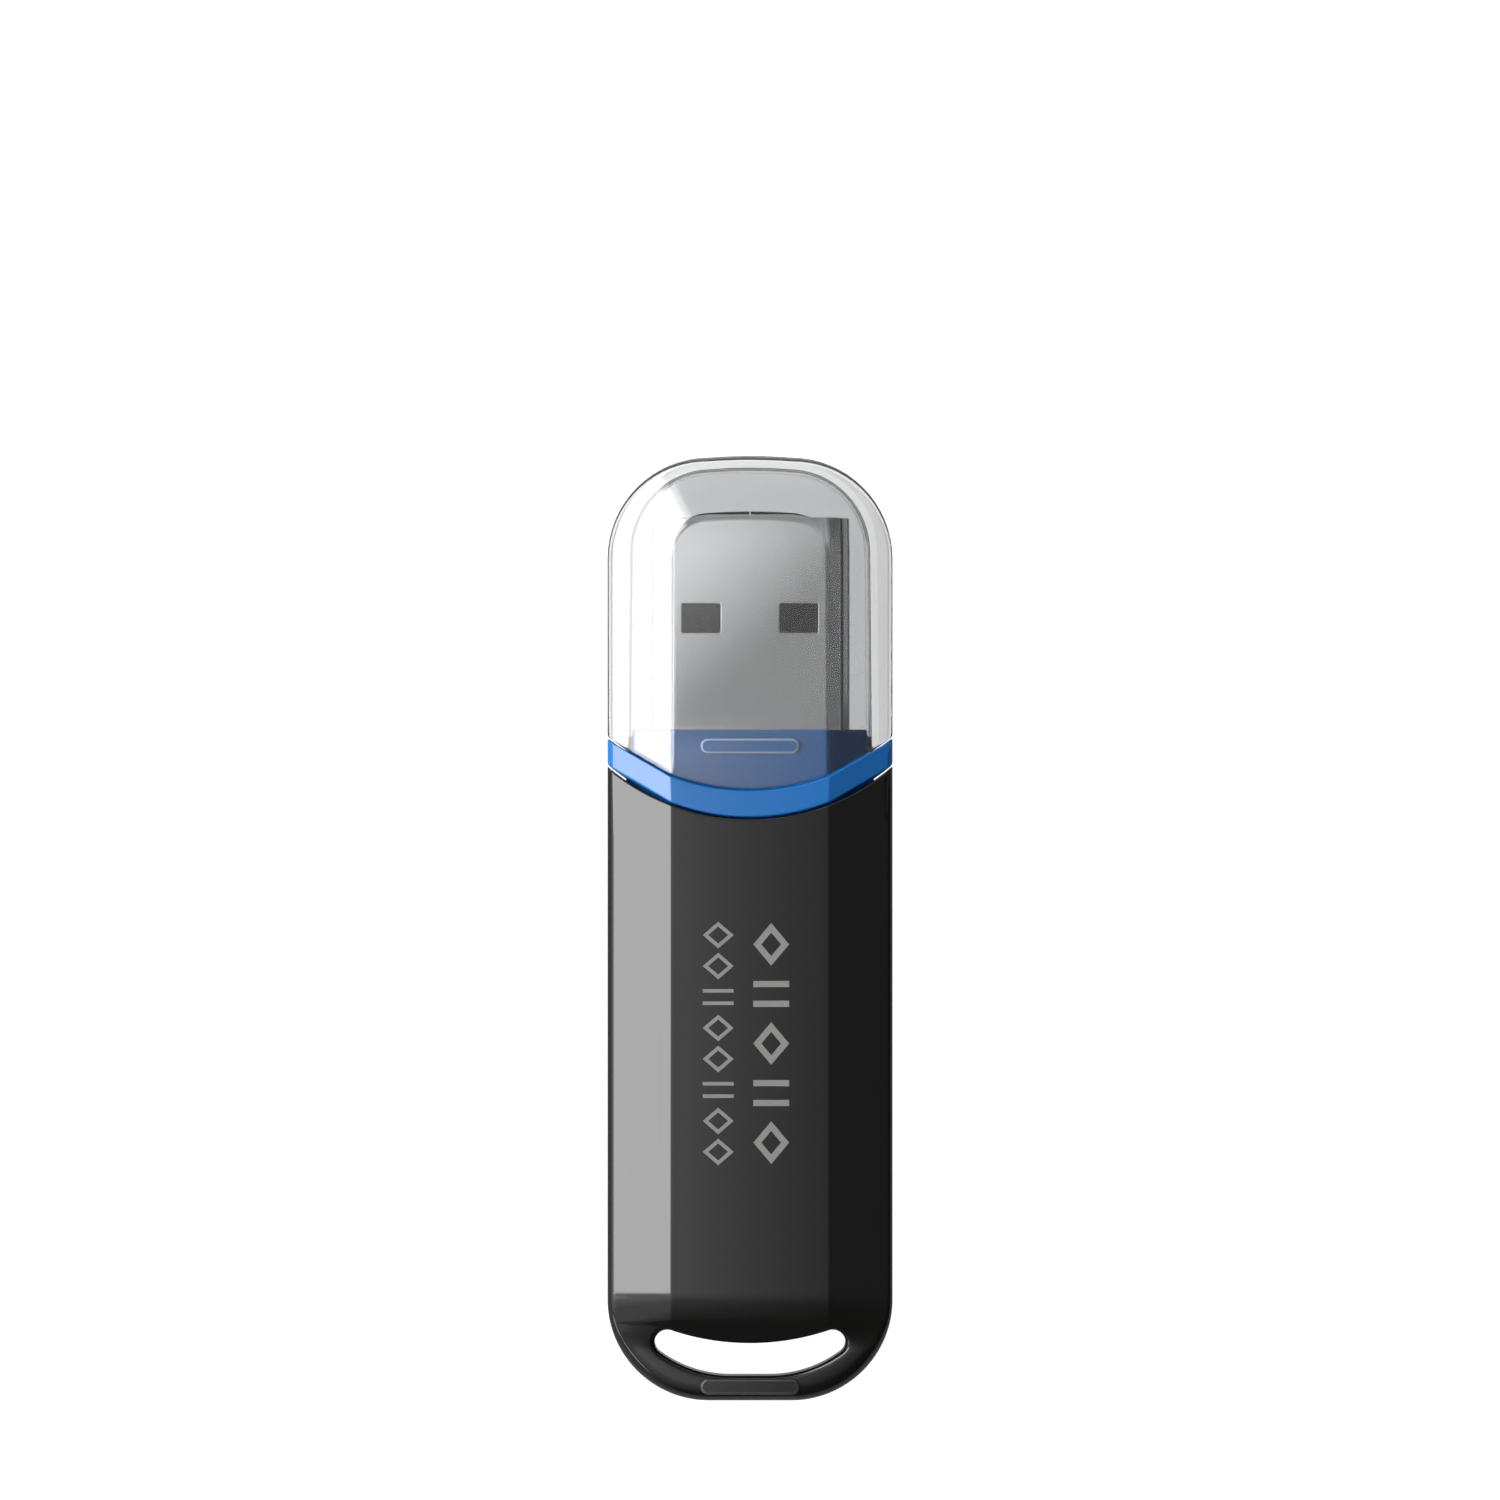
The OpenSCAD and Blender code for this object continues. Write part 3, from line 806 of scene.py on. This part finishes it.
def skin_height(x, y):
    """Height of the shell's face with its edges rounded towards the walls, the hole and the seam."""
    z = face_height(x, y)
    for distance, radius in ROUNDINGS:
        r = radius(y)
        d, out = distance(x, y)
        d = max(d, 0.0)
        if d < r:
            inner = (x - out[0] * (r - d), y - out[1] * (r - d))
            base = face_height(*inner)
            fall = base - face_height(inner[0] + out[0] * PROBE, inner[1] + out[1] * PROBE)
            lean = atan(max(0.0, fall / PROBE))
            if d < r * (1 - sin(lean)):
                z = min(z, base - r / cos(lean) + sqrt(max(0.0, r * r - (r - d) ** 2)))
    return z


def fillet_steps(r, steps=6):
    """Distances in from an edge at which a rounding of radius r is sampled."""
    return [r * (1 - sin(a)) for a in spread(pi / 2, 0, steps)]


def onto_edges(x, y):
    """A point of the plan, moved onto the true curve of any edge that it almost touches."""
    for distance, _ in ROUNDINGS:
        d, out = distance(x, y)
        if abs(d) < EDGE_REACH:
            x, y = x + out[0] * d, y + out[1] * d
    return x, y


def plan_lines():
    """Lines seen from above along every edge and curve of the shell's face."""
    lines = []
    for d in (*fillet_steps(EDGE_R), *TAIL_RINGS):
        half, r = HALF_W - d, CORNER_R - d
        path = arc((half - r, TAIL_Y + CORNER_R), r, 0, -pi / 2, 24)
        if d > EDGE_R:
            path = [p for p in path if p[1] < TAIL_RING_Y]
        else:
            front = SHELL_SEAM + bow(half)
            side = [(half, y) for y in spread(front, TAIL_Y + CORNER_R, 8)[:-1]]
            if d:
                side[0] = (half, front + PAST_EDGE)
            path = side + path
        lines.append(path + [(-x, y) for x, y in reversed(path)])
    for e in fillet_steps(LOOP_EDGE_R):
        ring = loop_outline(e)
        lines.append(ring + ring[:1])
    for s in fillet_steps(SEAM_EDGE_R, 4):
        limit = HALF_W + (PAST_EDGE if s else 0)
        lines.append([(x, SHELL_SEAM - s + bow(x, SEAM_R + s)) for x in spread(-limit, limit, 36)])
    wide = HALF_W + PAST_EDGE
    foot = FOOT_BLEND / tan(SLOPE_ANGLE)
    steps = [SLOPE_START - SLOPE_R * sin(a) for a in spread(0, SLOPE_ANGLE, 10)]
    steps += spread(SLOPE_START - SLOPE_TURN, LOOP_TOP + foot, 3)[1:]
    steps += spread(LOOP_TOP + foot, LOOP_TOP - foot, 10)[1:]
    lines += [[(-wide, y), (wide, y)] for y in steps]
    crease = [FACET - CREASE + CREASE * (1 + cos(BEVEL)) * i / 3 for i in range(4)]
    lines += [[(x, SHELL_SEAM + SEAM_R), (x, TAIL_Y - 1)] for c in crease for x in (-c, c)]
    return lines


def shell_plan():
    """Points and triangles of the shell seen from above."""
    points, edges = [], []
    for line in plan_lines():
        start = len(points)
        points += [Vector(p) for p in line]
        edges += [(start + i, start + i + 1) for i in range(len(line) - 1)]
    found = geometry.delaunay_2d_cdt(points, edges, [], 0, PLAN_EPSILON)
    plan = [onto_edges(*p) for p in found[0]]
    kept = []
    for triangle in found[2]:
        x, y = (sum(plan[i][axis] for i in triangle) / 3 for axis in (0, 1))
        on_shell = all(distance(x, y)[0] > 0 for distance, _ in ROUNDINGS)
        if on_shell and y < SHELL_SEAM + SEAM_R:
            kept.append(triangle)
    return plan, kept


LIP = 0.06  # upright strip below the rounded rim, which keeps the rim's shading apart
SEAM_RISE = 0.05  # height at which the wall starts to lean in to the seam between the shells
SEAM_INSET = 0.05  # how far it leans in
SEAM_FADE = 0.4  # distance behind the front edge over which that starts


def shell_solid(name, side):
    """Closed solid of one shell, on the side +1 or -1 of the middle plane, with nothing cut from it yet."""
    plan, triangles = shell_plan()
    bm = bmesh.new()
    used = sorted({i for t in triangles for i in t})
    made = {i: bm.verts.new((*plan[i], skin_height(*plan[i]))) for i in used}
    for t in triangles:
        bm.faces.new([made[i] for i in t])

    def extruded(edges):
        """Extrudes the open rim; its new points and edges."""
        step = bmesh.ops.extrude_edge_only(bm, edges=edges)["geom"]
        return [[g for g in step if isinstance(g, kind)] for kind in (bmesh.types.BMVert, bmesh.types.BMEdge)]

    rim, edges = extruded([e for e in bm.edges if len(e.link_faces) == 1])
    for v in rim:
        v.co.z -= LIP
    rim, edges = extruded(edges)
    for v in rim:
        v.co.z = SEAM_RISE
    rim, edges = extruded(edges)
    for v in rim:
        d, out = outline_distance(v.co.x, v.co.y)
        if d < 0.01:
            inset = SEAM_INSET * min(1.0, max(0.0, seam_distance(v.co.x, v.co.y)[0] / SEAM_FADE))
            v.co.x -= out[0] * inset
            v.co.y -= out[1] * inset
        v.co.z = 0
    bmesh.ops.triangle_fill(bm, edges=edges, use_beauty=True)
    for v in bm.verts:
        v.co.z *= side
    bmesh.ops.recalc_face_normals(bm, faces=bm.faces)
    for v in bm.verts:
        v.co = to_row(v.co)
    return finished(bm, name)


def prism(name, loop, start, end):
    """Closed solid of a section between two places along Y."""
    bm = bmesh.new()
    back = [bm.verts.new(to_row((x, start, z))) for x, z in loop]
    front = [bm.verts.new(to_row((x, end, z))) for x, z in loop]
    n = len(loop)
    for i in range(n):
        bm.faces.new((back[i], back[(i + 1) % n], front[(i + 1) % n], front[i]))
    bm.faces.new(back)
    bm.faces.new(front)
    bmesh.ops.recalc_face_normals(bm, faces=bm.faces)
    return finished(bm, name)


def carve(piece, mesh, operation):
    """Applies one boolean to a piece, and leaves only the result."""
    tool = new_object("tool", mesh)
    cut = piece.modifiers.new("cut", "BOOLEAN")
    cut.operation = operation
    cut.solver = "EXACT"
    cut.use_self = operation == "UNION"
    cut.object = tool
    bpy.context.view_layer.update()
    result = bpy.data.meshes.new_from_object(piece.evaluated_get(bpy.context.evaluated_depsgraph_get()))
    piece.modifiers.clear()
    old = piece.data
    piece.data = result
    bpy.data.meshes.remove(old)
    bpy.data.objects.remove(tool)
    bpy.data.meshes.remove(mesh)


def boxes_and_pins(boxes, pins):
    """One mesh of separate closed boxes (low corner, high corner) and upright pins (x, y, r, low, high)."""
    bm = bmesh.new()
    for low, high in boxes:
        made = bmesh.ops.create_cube(bm, size=1)
        for v in made["verts"]:
            v.co = to_row([low[i] if v.co[i] < 0 else high[i] for i in range(3)])
    for x, y, r, low, high in pins:
        made = bmesh.ops.create_cone(bm, cap_ends=True, segments=24, radius1=r, radius2=r, depth=1)
        for v in made["verts"]:
            v.co = to_row((x + v.co.x, y + v.co.y, low if v.co.z < 0 else high))
    return finished(bm, "details")


def add_tail_rib(mesh, side):
    """Joins the cap's parking rib to the shell's tail bar."""
    verts, faces = [], []
    add_ribs(verts, faces, TAIL_Y + TAIL_RIB_SETBACK, HALF_T - TAIL_DROP, (side,))
    bm = bmesh.new()
    bm.from_mesh(mesh)
    made = [bm.verts.new(to_row(v)) for v in verts]
    for f in faces:
        bm.faces.new([made[i] for i in f])
    bmesh.ops.recalc_face_normals(bm, faces=bm.faces)
    bm.to_mesh(mesh)
    bm.free()


PIN_R = 0.5
SOCKET_R = 0.52
POST_R = 0.95
PIN_PLACES = ((6.8, 1.2), (5.6, -22.2))  # the first pair goes through the board's notches into posts
PAD_X = (6.55, 7.65)
PAD_PLACES = (-16, -7)
PAD_LENGTH = 3
ROOF = HALF_T - SHELL_WALL
BOARD_SLIP = 0.02
STOP_HALF_W = 4


def both_sides(boxes):
    """Boxes and their mirror images across the drive."""
    return boxes + [((-high[0], low[1], low[2]), (-low[0], high[1], high[2])) for low, high in boxes]


def pinned_details():
    """Pads that hold the board and pins for the other shell, inside the lower shell."""
    pads = both_sides([((PAD_X[0], y, 0.58 - ROOF), (PAD_X[1], y + PAD_LENGTH, BOARD_UNDER - BOARD_SLIP))
                       for y in PAD_PLACES])
    pins = [(side * x, y, PIN_R, low, 1.2)
            for side in (-1, 1) for (x, y), low in zip(PIN_PLACES, (0.3 - ROOF, -1.2))]
    return boxes_and_pins(pads, pins)


def socket_details():
    """Rails and a stop for the board, and posts in its notches, inside the upper shell."""
    rails = both_sides([((PAD_X[0], board_low.y + 1.5, BOARD_TOP + BOARD_SLIP),
                         (PAD_X[1], collar_low.y - 1, ROOF - 0.4))])
    stop = ((-STOP_HALF_W, board_low.y - 0.85, BOARD_UNDER), (STOP_HALF_W, board_low.y - 0.05, ROOF + 0.2))
    x, y = PIN_PLACES[0]
    return boxes_and_pins(rails + [stop], [(side * x, y, POST_R, 0, ROOF - 0.3) for side in (-1, 1)])


def sockets():
    return boxes_and_pins([], [(side * x, y, SOCKET_R, -0.6, 1.4) for side in (-1, 1) for x, y in PIN_PLACES])


CAVITY_R = 0.2  # rounding of the cavity's corners
CAVITY_BEHIND = 0.25  # gap between it and the board's rear edge
SHARP_ANGLE = 32


def build_shell(name, node_name, side):
    """Cuts the cavity from the solid, then adds what stands inside it and the rib on its tail."""
    piece = add_piece(name, shell_solid(name, side), "drive", materials["black"])
    cavity = section_loop(HALF_W - SHELL_WALL, ROOF, facet_inside(SHELL_WALL), CAVITY_R)
    carve(piece, prism("cavity", cavity, board_low.y - CAVITY_BEHIND, TIP_Y), "DIFFERENCE")
    if side > 0:
        carve(piece, socket_details(), "UNION")
        carve(piece, sockets(), "DIFFERENCE")
    else:
        carve(piece, pinned_details(), "UNION")
    add_tail_rib(piece.data, side)
    cover(piece.data, materials["black"])
    piece.data.set_sharp_from_angle(angle=radians(SHARP_ANGLE))
    weigh(piece)
    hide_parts(node_name)


# ---- Plug shell: rolled sheet with two latch windows above and below ----

PLUG_CORNER_R = 0.6
PLUG_SEAM = 0.03
WINDOW_WIDTH = 2.37
WINDOW_LENGTH = 1.79
WINDOW_SPACING = 6
WINDOW_SETBACK = 5.15
WINDOW_ENDS = ((WINDOW_SPACING - WINDOW_WIDTH) / 2, (WINDOW_SPACING + WINDOW_WIDTH) / 2)
TAB_LENGTH = 2.4
TAB_ENDS = (BOARD_TOP - 1.3, BOARD_TOP)


def sheet_loop(inset):
    """Path of the rolled sheet from one side of its seam to the other, with points at every cut's ends."""
    r = PLUG_CORNER_R
    under = [(x, -PLUG_HALF_T + inset) for x in (PLUG_SEAM, *WINDOW_ENDS)]
    low = arc((PLUG_HALF_W - r, -PLUG_HALF_T + r), r - inset, -pi / 2, 0, 6)
    tab = [(PLUG_HALF_W - inset, z) for z in TAB_ENDS]
    high = arc((PLUG_HALF_W - r, PLUG_HALF_T - r), r - inset, 0, pi / 2, 6)
    over = [(x, PLUG_HALF_T - inset) for x in reversed(WINDOW_ENDS)]
    right = under + low + tab + high + over
    return right + [(-x, z) for x, z in reversed(right)]


def build_plug():
    """The sheet between its outer and inner path, less the windows and all but two tabs at the rear."""
    outer, inner = sheet_loop(0), sheet_loop(PLUG_SHEET)
    window_front = plug_high.y - WINDOW_SETBACK
    stations = [plug_low.y, plug_low.y + TAB_LENGTH, window_front - WINDOW_LENGTH, window_front, plug_high.y]
    tabs = [[(x, z) for z in TAB_ENDS] for x in (PLUG_HALF_W, -PLUG_HALF_W)]
    windows = [[(side * x, z) for x in WINDOW_ENDS] for side in (1, -1) for z in (PLUG_HALF_T, -PLUG_HALF_T)]

    def between(column, stretches):
        """Whether a column of the sheet lies between the ends of one of the stretches."""
        return any(all(min(dist(end, p) for p in stretch) < 1e-6 for end in outer[column:column + 2])
                   for stretch in stretches)

    verts = [(x, y, z) for loop in (outer, inner) for y in stations for x, z in loop]
    columns = len(outer)
    shift = len(stations) * columns
    faces = []
    uses = {}
    for row in range(len(stations) - 1):
        for c in range(columns - 1):
            if (row == 0 and not between(c, tabs)) or (row == 2 and between(c, windows)):
                continue
            a = row * columns + c
            quad = (a, a + 1, a + 1 + columns, a + columns)
            faces += [quad, tuple(i + shift for i in reversed(quad))]
            for i in range(4):
                edge = tuple(sorted((quad[i - 1], quad[i])))
                uses[edge] = uses.get(edge, 0) + 1
    faces += [(a, b, b + shift, a + shift) for (a, b), count in uses.items() if count == 1]
    piece = mesh_piece("plug_sheet", verts, faces, "drive", materials["steel"])
    soften(piece, 0.05, 2, 40)
    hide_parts("plug_shell")


# ---- Printed marks on the upper face ----

INK_TOP = 0.008  # how far the ink stands proud
INK_DEPTH = 0.03  # and how far its slab reaches into the face
MARK_FRONT, MARK_BACK = 0.6, -14.6
DIAMOND_REACH = 0.43  # half its length, as a share of the marks' pitch
BAR_REACH = 0.2  # from the middle of a pair of bars to either one, likewise


def ink_ring(verts, faces, outline, hole=None):
    """A closed, very thin slab of ink: a filled outline, or the band between an outline and its hole."""
    start = len(verts)
    n = len(outline)
    loops = [outline] + ([hole] if hole else [])
    for height in (HALF_T + INK_TOP, HALF_T - INK_DEPTH):
        for loop in loops:
            verts += [(x, y, height) for x, y in loop]
    level = n * len(loops)
    for i in range(n):
        j = (i + 1) % n
        wall = (i, j, j + level, i + level)
        quads = [wall]
        if hole:
            band = (i, j, j + n, i + n)
            quads += [[n + k for k in wall], band, [level + k for k in band]]
        faces += [[start + k for k in quad] for quad in quads]
    if not hole:
        faces += [[start + first + i for i in range(n)] for first in (0, level)]


def diamond(x, y, half_x, half_y):
    return [(x + half_x, y), (x, y + half_y), (x - half_x, y), (x, y - half_y)]


def mark_row(verts, faces, x0, x1, stroke, pattern):
    """Lays diamonds (d) and pairs of bars (b) along the drive, between two places across it."""
    pitch = (MARK_FRONT - MARK_BACK) / len(pattern)
    middle, half_x = (x0 + x1) / 2, (x1 - x0) / 2
    for i, kind in enumerate(pattern):
        y = MARK_FRONT - (i + 0.5) * pitch
        if kind == "d":
            half_y = pitch * DIAMOND_REACH
            side = hypot(half_x, half_y)
            inner = (half_x - stroke * side / half_y, half_y - stroke * side / half_x)
            ink_ring(verts, faces, diamond(middle, y, half_x, half_y), diamond(middle, y, *inner))
        else:
            for step in (-1, 1):
                low = y + step * pitch * BAR_REACH - stroke / 2
                high = low + stroke
                ink_ring(verts, faces, [(x1, low), (x1, high), (x0, high), (x0, low)])


# (left, right, line width, marks along the drive: d a diamond, b a pair of bars)
MARK_ROWS = ((0.2, 2.4, 0.38, "dbdbd"), (-2.9, -1.0, 0.22, "ddbddbdd"))


def build_print():
    """A generic mark along the drive: a bold row of diamonds and bars beside a fine one."""
    verts, faces = [], []
    for row in MARK_ROWS:
        mark_row(verts, faces, *row)
    mesh_piece("printed_marks", verts, faces, "drive", materials["print"], False)


# ---- Pieces that keep their CAD shape ----

# look: (edge softening, nodes)
CAD_LOOKS = {
    "insulator": (0.06, ["plug_insulator"]),
    "gold": (0.05, ["contact_power", "contact_data_minus", "contact_data_plus", "contact_ground"]),
    "board": (0.03, ["circuit_board"]),
    "solder": (0.04, ["solder_joints"]),
    "resin": (0.03, ["flash_chip", "controller_chip"]),
    "tin": (0.02, ["flash_chip_leads", "controller_leads"]),
    "crystal": (0.06, ["crystal"]),
    "bulk": (0.05, ["bulk_capacitor"]),
    "capacitor": (0.04, ["capacitors"]),
    "resistor": (0.03, ["resistors"]),
    "ferrite": (0.04, ["ferrite_bead"]),
}


def dress_cad(name, material, width):
    """Gives a CAD node a material, joins its split corners and softens its edges."""
    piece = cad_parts[name]
    piece.data.materials.clear()
    piece.data.materials.append(material)
    weld = piece.modifiers.new("weld", "WELD")
    weld.merge_threshold = 1e-7
    soften(piece, width, 2, 25)


# ---- Stage, light and camera ----


def set_piece(name, corners, material):
    """A flat piece of the set, from its corners in millimetres."""
    bm = bmesh.new()
    bm.faces.new([bm.verts.new(Vector(c) * MM) for c in corners])
    piece = new_object(name, finished(bm, name))
    piece.data.materials.append(material)
    return piece


def square(half, z):
    return [(-half, -half, z), (half, -half, z), (half, half, z), (-half, half, z)]


def card(name, corners, strength, levels):
    """Panel seen only in reflections and through clear plastic. Its nodes work out its level from x, y, z."""
    material = new_material(name)[0]
    Nodes.tree.nodes.clear()
    place_on_card = node("TexCoord").outputs["Object"]
    split = node("SeparateXYZ", Vector=place_on_card)
    emission = node("Emission", Color=levels(*split.outputs), Strength=strength)
    node("OutputMaterial", Surface=emission.outputs["Emission"])
    material.cycles.emission_sampling = "NONE"
    piece = set_piece(name, corners, material)
    for ray in ("camera", "diffuse", "shadow", "volume_scatter"):
        setattr(piece, "visible_" + ray, False)


CARD_HALF = 120
CARD_HEIGHT = 70
CARD_STRENGTH = 10.0
PLUG_SPAN = (17.6, 27.8)  # y - x over the plug, from its right rear to the tip's left corner
PLUG_LEVELS = (0.06, 0.168)  # and the levels there
AHEAD_Y = (12.3, 12.55)  # where the body's light gives way to the plug's

# (place in mm, level) along X or Y of the overhead card
STRIP_X = ((-120, 0.0), (-62, 0.1), (-56, 1.0), (-30, 1.0), (-24, 0.0))
STRIP_Y = ((-120, 0.03), (-80, 0.05), (-60, 0.1), (-46, 0.1), (-38, 0.06), (-29, 0.075), (-26, 1.0))
BODY_X = ((-24, 0.2), (-10, 0.16), (-5, 0.1365), (-1.7, 0.097), (0, 0.083), (1.7, 0.068), (5, 0.0433),
          (10, 0.032), (24, 0.02), (49, 0.0145), (120, 0.012))
BODY_Y = ((-120, 0.1), (-67, 0.26), (-47, 0.44), (-34, 0.84), (-27, 1.0))
PLUG_X = ((14, 1.0), (24, 0.1))
PLUG_Y = ((26.2, 1.0), (27.6, 0.1))
CORNER_GLINT_X = ((-76, 0.5), (-72, 0.0))
CORNER_GLINT_Y = ((-60, 1.0), (-54, 0.0))
FAR_GLINT_Y = ((84, 0.0), (92, 0.3))


def ramp_over(source, stops):
    """Level that follows a list of stops along one of the overhead card's axes."""
    made = node("ValToRGB", Fac=over_mm(source, -CARD_HALF, CARD_HALF))
    ramp = made.color_ramp.elements
    while len(ramp) < len(stops):
        ramp.new(0.5)
    for element, (at, level) in zip(ramp, stops):
        element.position = (at + CARD_HALF) / (2 * CARD_HALF)
        element.color = (level, level, level, 1)
    return made.outputs["Color"]


def overhead_levels(x, y, z):
    """Bright to the left, falling off to the right, and faded behind the drive so that the tail stays dark.

    Over the plug it brightens towards the tip's left corner instead.
    """
    strip = product(ramp_over(x, STRIP_X), ramp_over(y, STRIP_Y))
    body = product(ramp_over(x, BODY_X), ramp_over(y, BODY_Y))
    plug = over_mm(maths("SUBTRACT", y, x), *PLUG_SPAN, *PLUG_LEVELS)
    ahead = over_mm(y, *AHEAD_Y)
    over_plug = product(plug, ramp_over(x, PLUG_X), ramp_over(y, PLUG_Y), ahead)
    over_body = product(body, maths("SUBTRACT", 1.0, ahead))
    corner_glint = product(ramp_over(x, CORNER_GLINT_X), ramp_over(y, CORNER_GLINT_Y))
    glints = maths("ADD", corner_glint, ramp_over(y, FAR_GLINT_Y))
    level = maths("MAXIMUM", strip, maths("ADD", over_plug, over_body))
    return maths("MAXIMUM", level, glints)


SIDE_CARD_X = 45
SIDE_CARD_Y = (12.6, 27)
SIDE_CARD_Z = (-4, 60)
SIDE_FADE_Y = (12.6, 15.1)
SIDE_FADE_Z = (0, 50)
SIDE_LEVELS = (0.65, 0.3)


def side_levels(x, y, z):
    """Fades in along the plug, and out upwards."""
    return product(over_mm(z, *SIDE_FADE_Z, *SIDE_LEVELS), over_mm(y, *SIDE_FADE_Y))


def cards():
    """A soft panel over the drive, and an upright one for the plug's rolled right edge and the cap's rim."""
    card("overhead_card", square(CARD_HALF, CARD_HEIGHT), CARD_STRENGTH, overhead_levels)
    (near, far), (low, high) = SIDE_CARD_Y, SIDE_CARD_Z
    upright = [(near, low), (far, low), (far, high), (near, high)]
    card("side_card", [(SIDE_CARD_X, y, z) for y, z in upright], 1.0, side_levels)


def dot(a, b):
    made = node("VectorMath", operation="DOT_PRODUCT")
    feed(made.inputs[0], a)
    feed(made.inputs[1], b)
    return made.outputs["Value"]


def straightness():
    """1 where a ray reaches the point in a straight line from the camera, less the more it has been bent."""
    seen_along = node("NewGeometry").outputs["Incoming"]
    turned = node("VectorTransform", vector_type="VECTOR", convert_from="WORLD",
                  convert_to="CAMERA", Vector=seen_along)
    view = node("CameraData").outputs["View Vector"]
    return product(dot(view, turned.outputs["Vector"]), -1.0)


FLOOR_HALF = 3000
FLOOR_Z = -0.02
FLOOR_LEVEL = 0.9  # what every ray sees
FLOOR_DIRECT = 0.12  # what the camera sees on top of it
FLOOR_MIRRORED = 0.72  # what reflections lose
FLOOR_BENT = 0.85  # what the most bent rays lose
STRAIGHTNESS = (0.7, 0.97)  # from such a ray to one that loses nothing


def floor():
    """White sweep lit from below, so that hardly any shadow shows.

    Reflections see it dim, and so do rays that clear plastic has bent: that draws its rims as dark lines.
    """
    material, shader = new_material("floor")
    bent = product(ray_is("Transmission"), to_range(straightness(), FLOOR_BENT, 0.0, *STRAIGHTNESS))
    reflected = maths("SUBTRACT", ray_is("Glossy"), ray_is("Transmission"))
    mirrored = product(maths("MAXIMUM", reflected, 0.0), FLOOR_MIRRORED)
    direct = product(ray_is("Camera"), FLOOR_DIRECT)
    level = maths("SUBTRACT", maths("ADD", direct, FLOOR_LEVEL), maths("ADD", bent, mirrored))
    put(shader, Base_Color=(0.22, 0.22, 0.22, 1), Roughness=0.9, Specular_IOR_Level=0.0,
        Emission_Color=(1, 1, 1, 1), Emission_Strength=level)
    material.cycles.emission_sampling = "NONE"
    set_piece("floor", square(FLOOR_HALF, FLOOR_Z), material)


def studio():
    """Soft daylight from the left for matt surfaces, and a dim room with two pale walls for reflections."""
    world = bpy.data.worlds.new("studio")
    bpy.context.scene.world = world
    world.use_nodes = True
    Nodes.tree = world.node_tree
    Nodes.tree.nodes.clear()
    direction = node("TexCoord").outputs["Generated"]

    def from_side(x, y, z, level, full):
        """Light from one side: 0 where the direction's dot product with it is 0.3, level where it is full."""
        return to_range(dot(direction, Vector((x, y, z)).normalized()), 0.0, level, 0.3, full)

    def background(strength):
        return node("Background", Color=(1, 1, 1, 1), Strength=strength).outputs["Background"]

    walls = maths("ADD", from_side(-1, 0, 0, 0.5, 0.85), from_side(0, 1, 0, 0.35, 0.85))
    room = background(maths("ADD", walls, 0.04))
    daylight = background(from_side(-0.85, 0.1, 0.2, 5.7, 1.0))
    scattered = blend(ray_is("Diffuse"), background(1.12), daylight)
    sharp = maths("MAXIMUM", ray_is("Glossy"), ray_is("Transmission"))
    node("OutputWorld", Surface=blend(sharp, scattered, room))
    world.cycles.sampling_method = "NONE"


FRAME_HEIGHT = 92
CAP_TRAVEL = 22
CAMERA_DISTANCE = 1600
SENSOR = 36


def camera():
    """Straight down on the upper face, with room ahead of the drive for the cap once it is off."""
    data = bpy.data.cameras.new("camera")
    data.sensor_width = SENSOR
    data.lens = SENSOR * CAMERA_DISTANCE / FRAME_HEIGHT
    data.clip_end = 10
    made = new_object("camera", data)
    made.location = to_row((0, (TAIL_Y + TIP_Y + CAP_TRAVEL) / 2, CAMERA_DISTANCE + MID_Z))
    bpy.context.scene.camera = made
    bpy.context.scene.view_settings.view_transform = "Standard"


build_cap()
build_collar()
build_shell("black_upper_shell", "upper_shell", 1)
build_shell("black_lower_shell", "lower_shell", -1)
build_plug()
build_print()
for look, (edge, cad_names) in CAD_LOOKS.items():
    for cad_name in cad_names:
        dress_cad(cad_name, materials[look], edge)
cards()
floor()
studio()
camera()
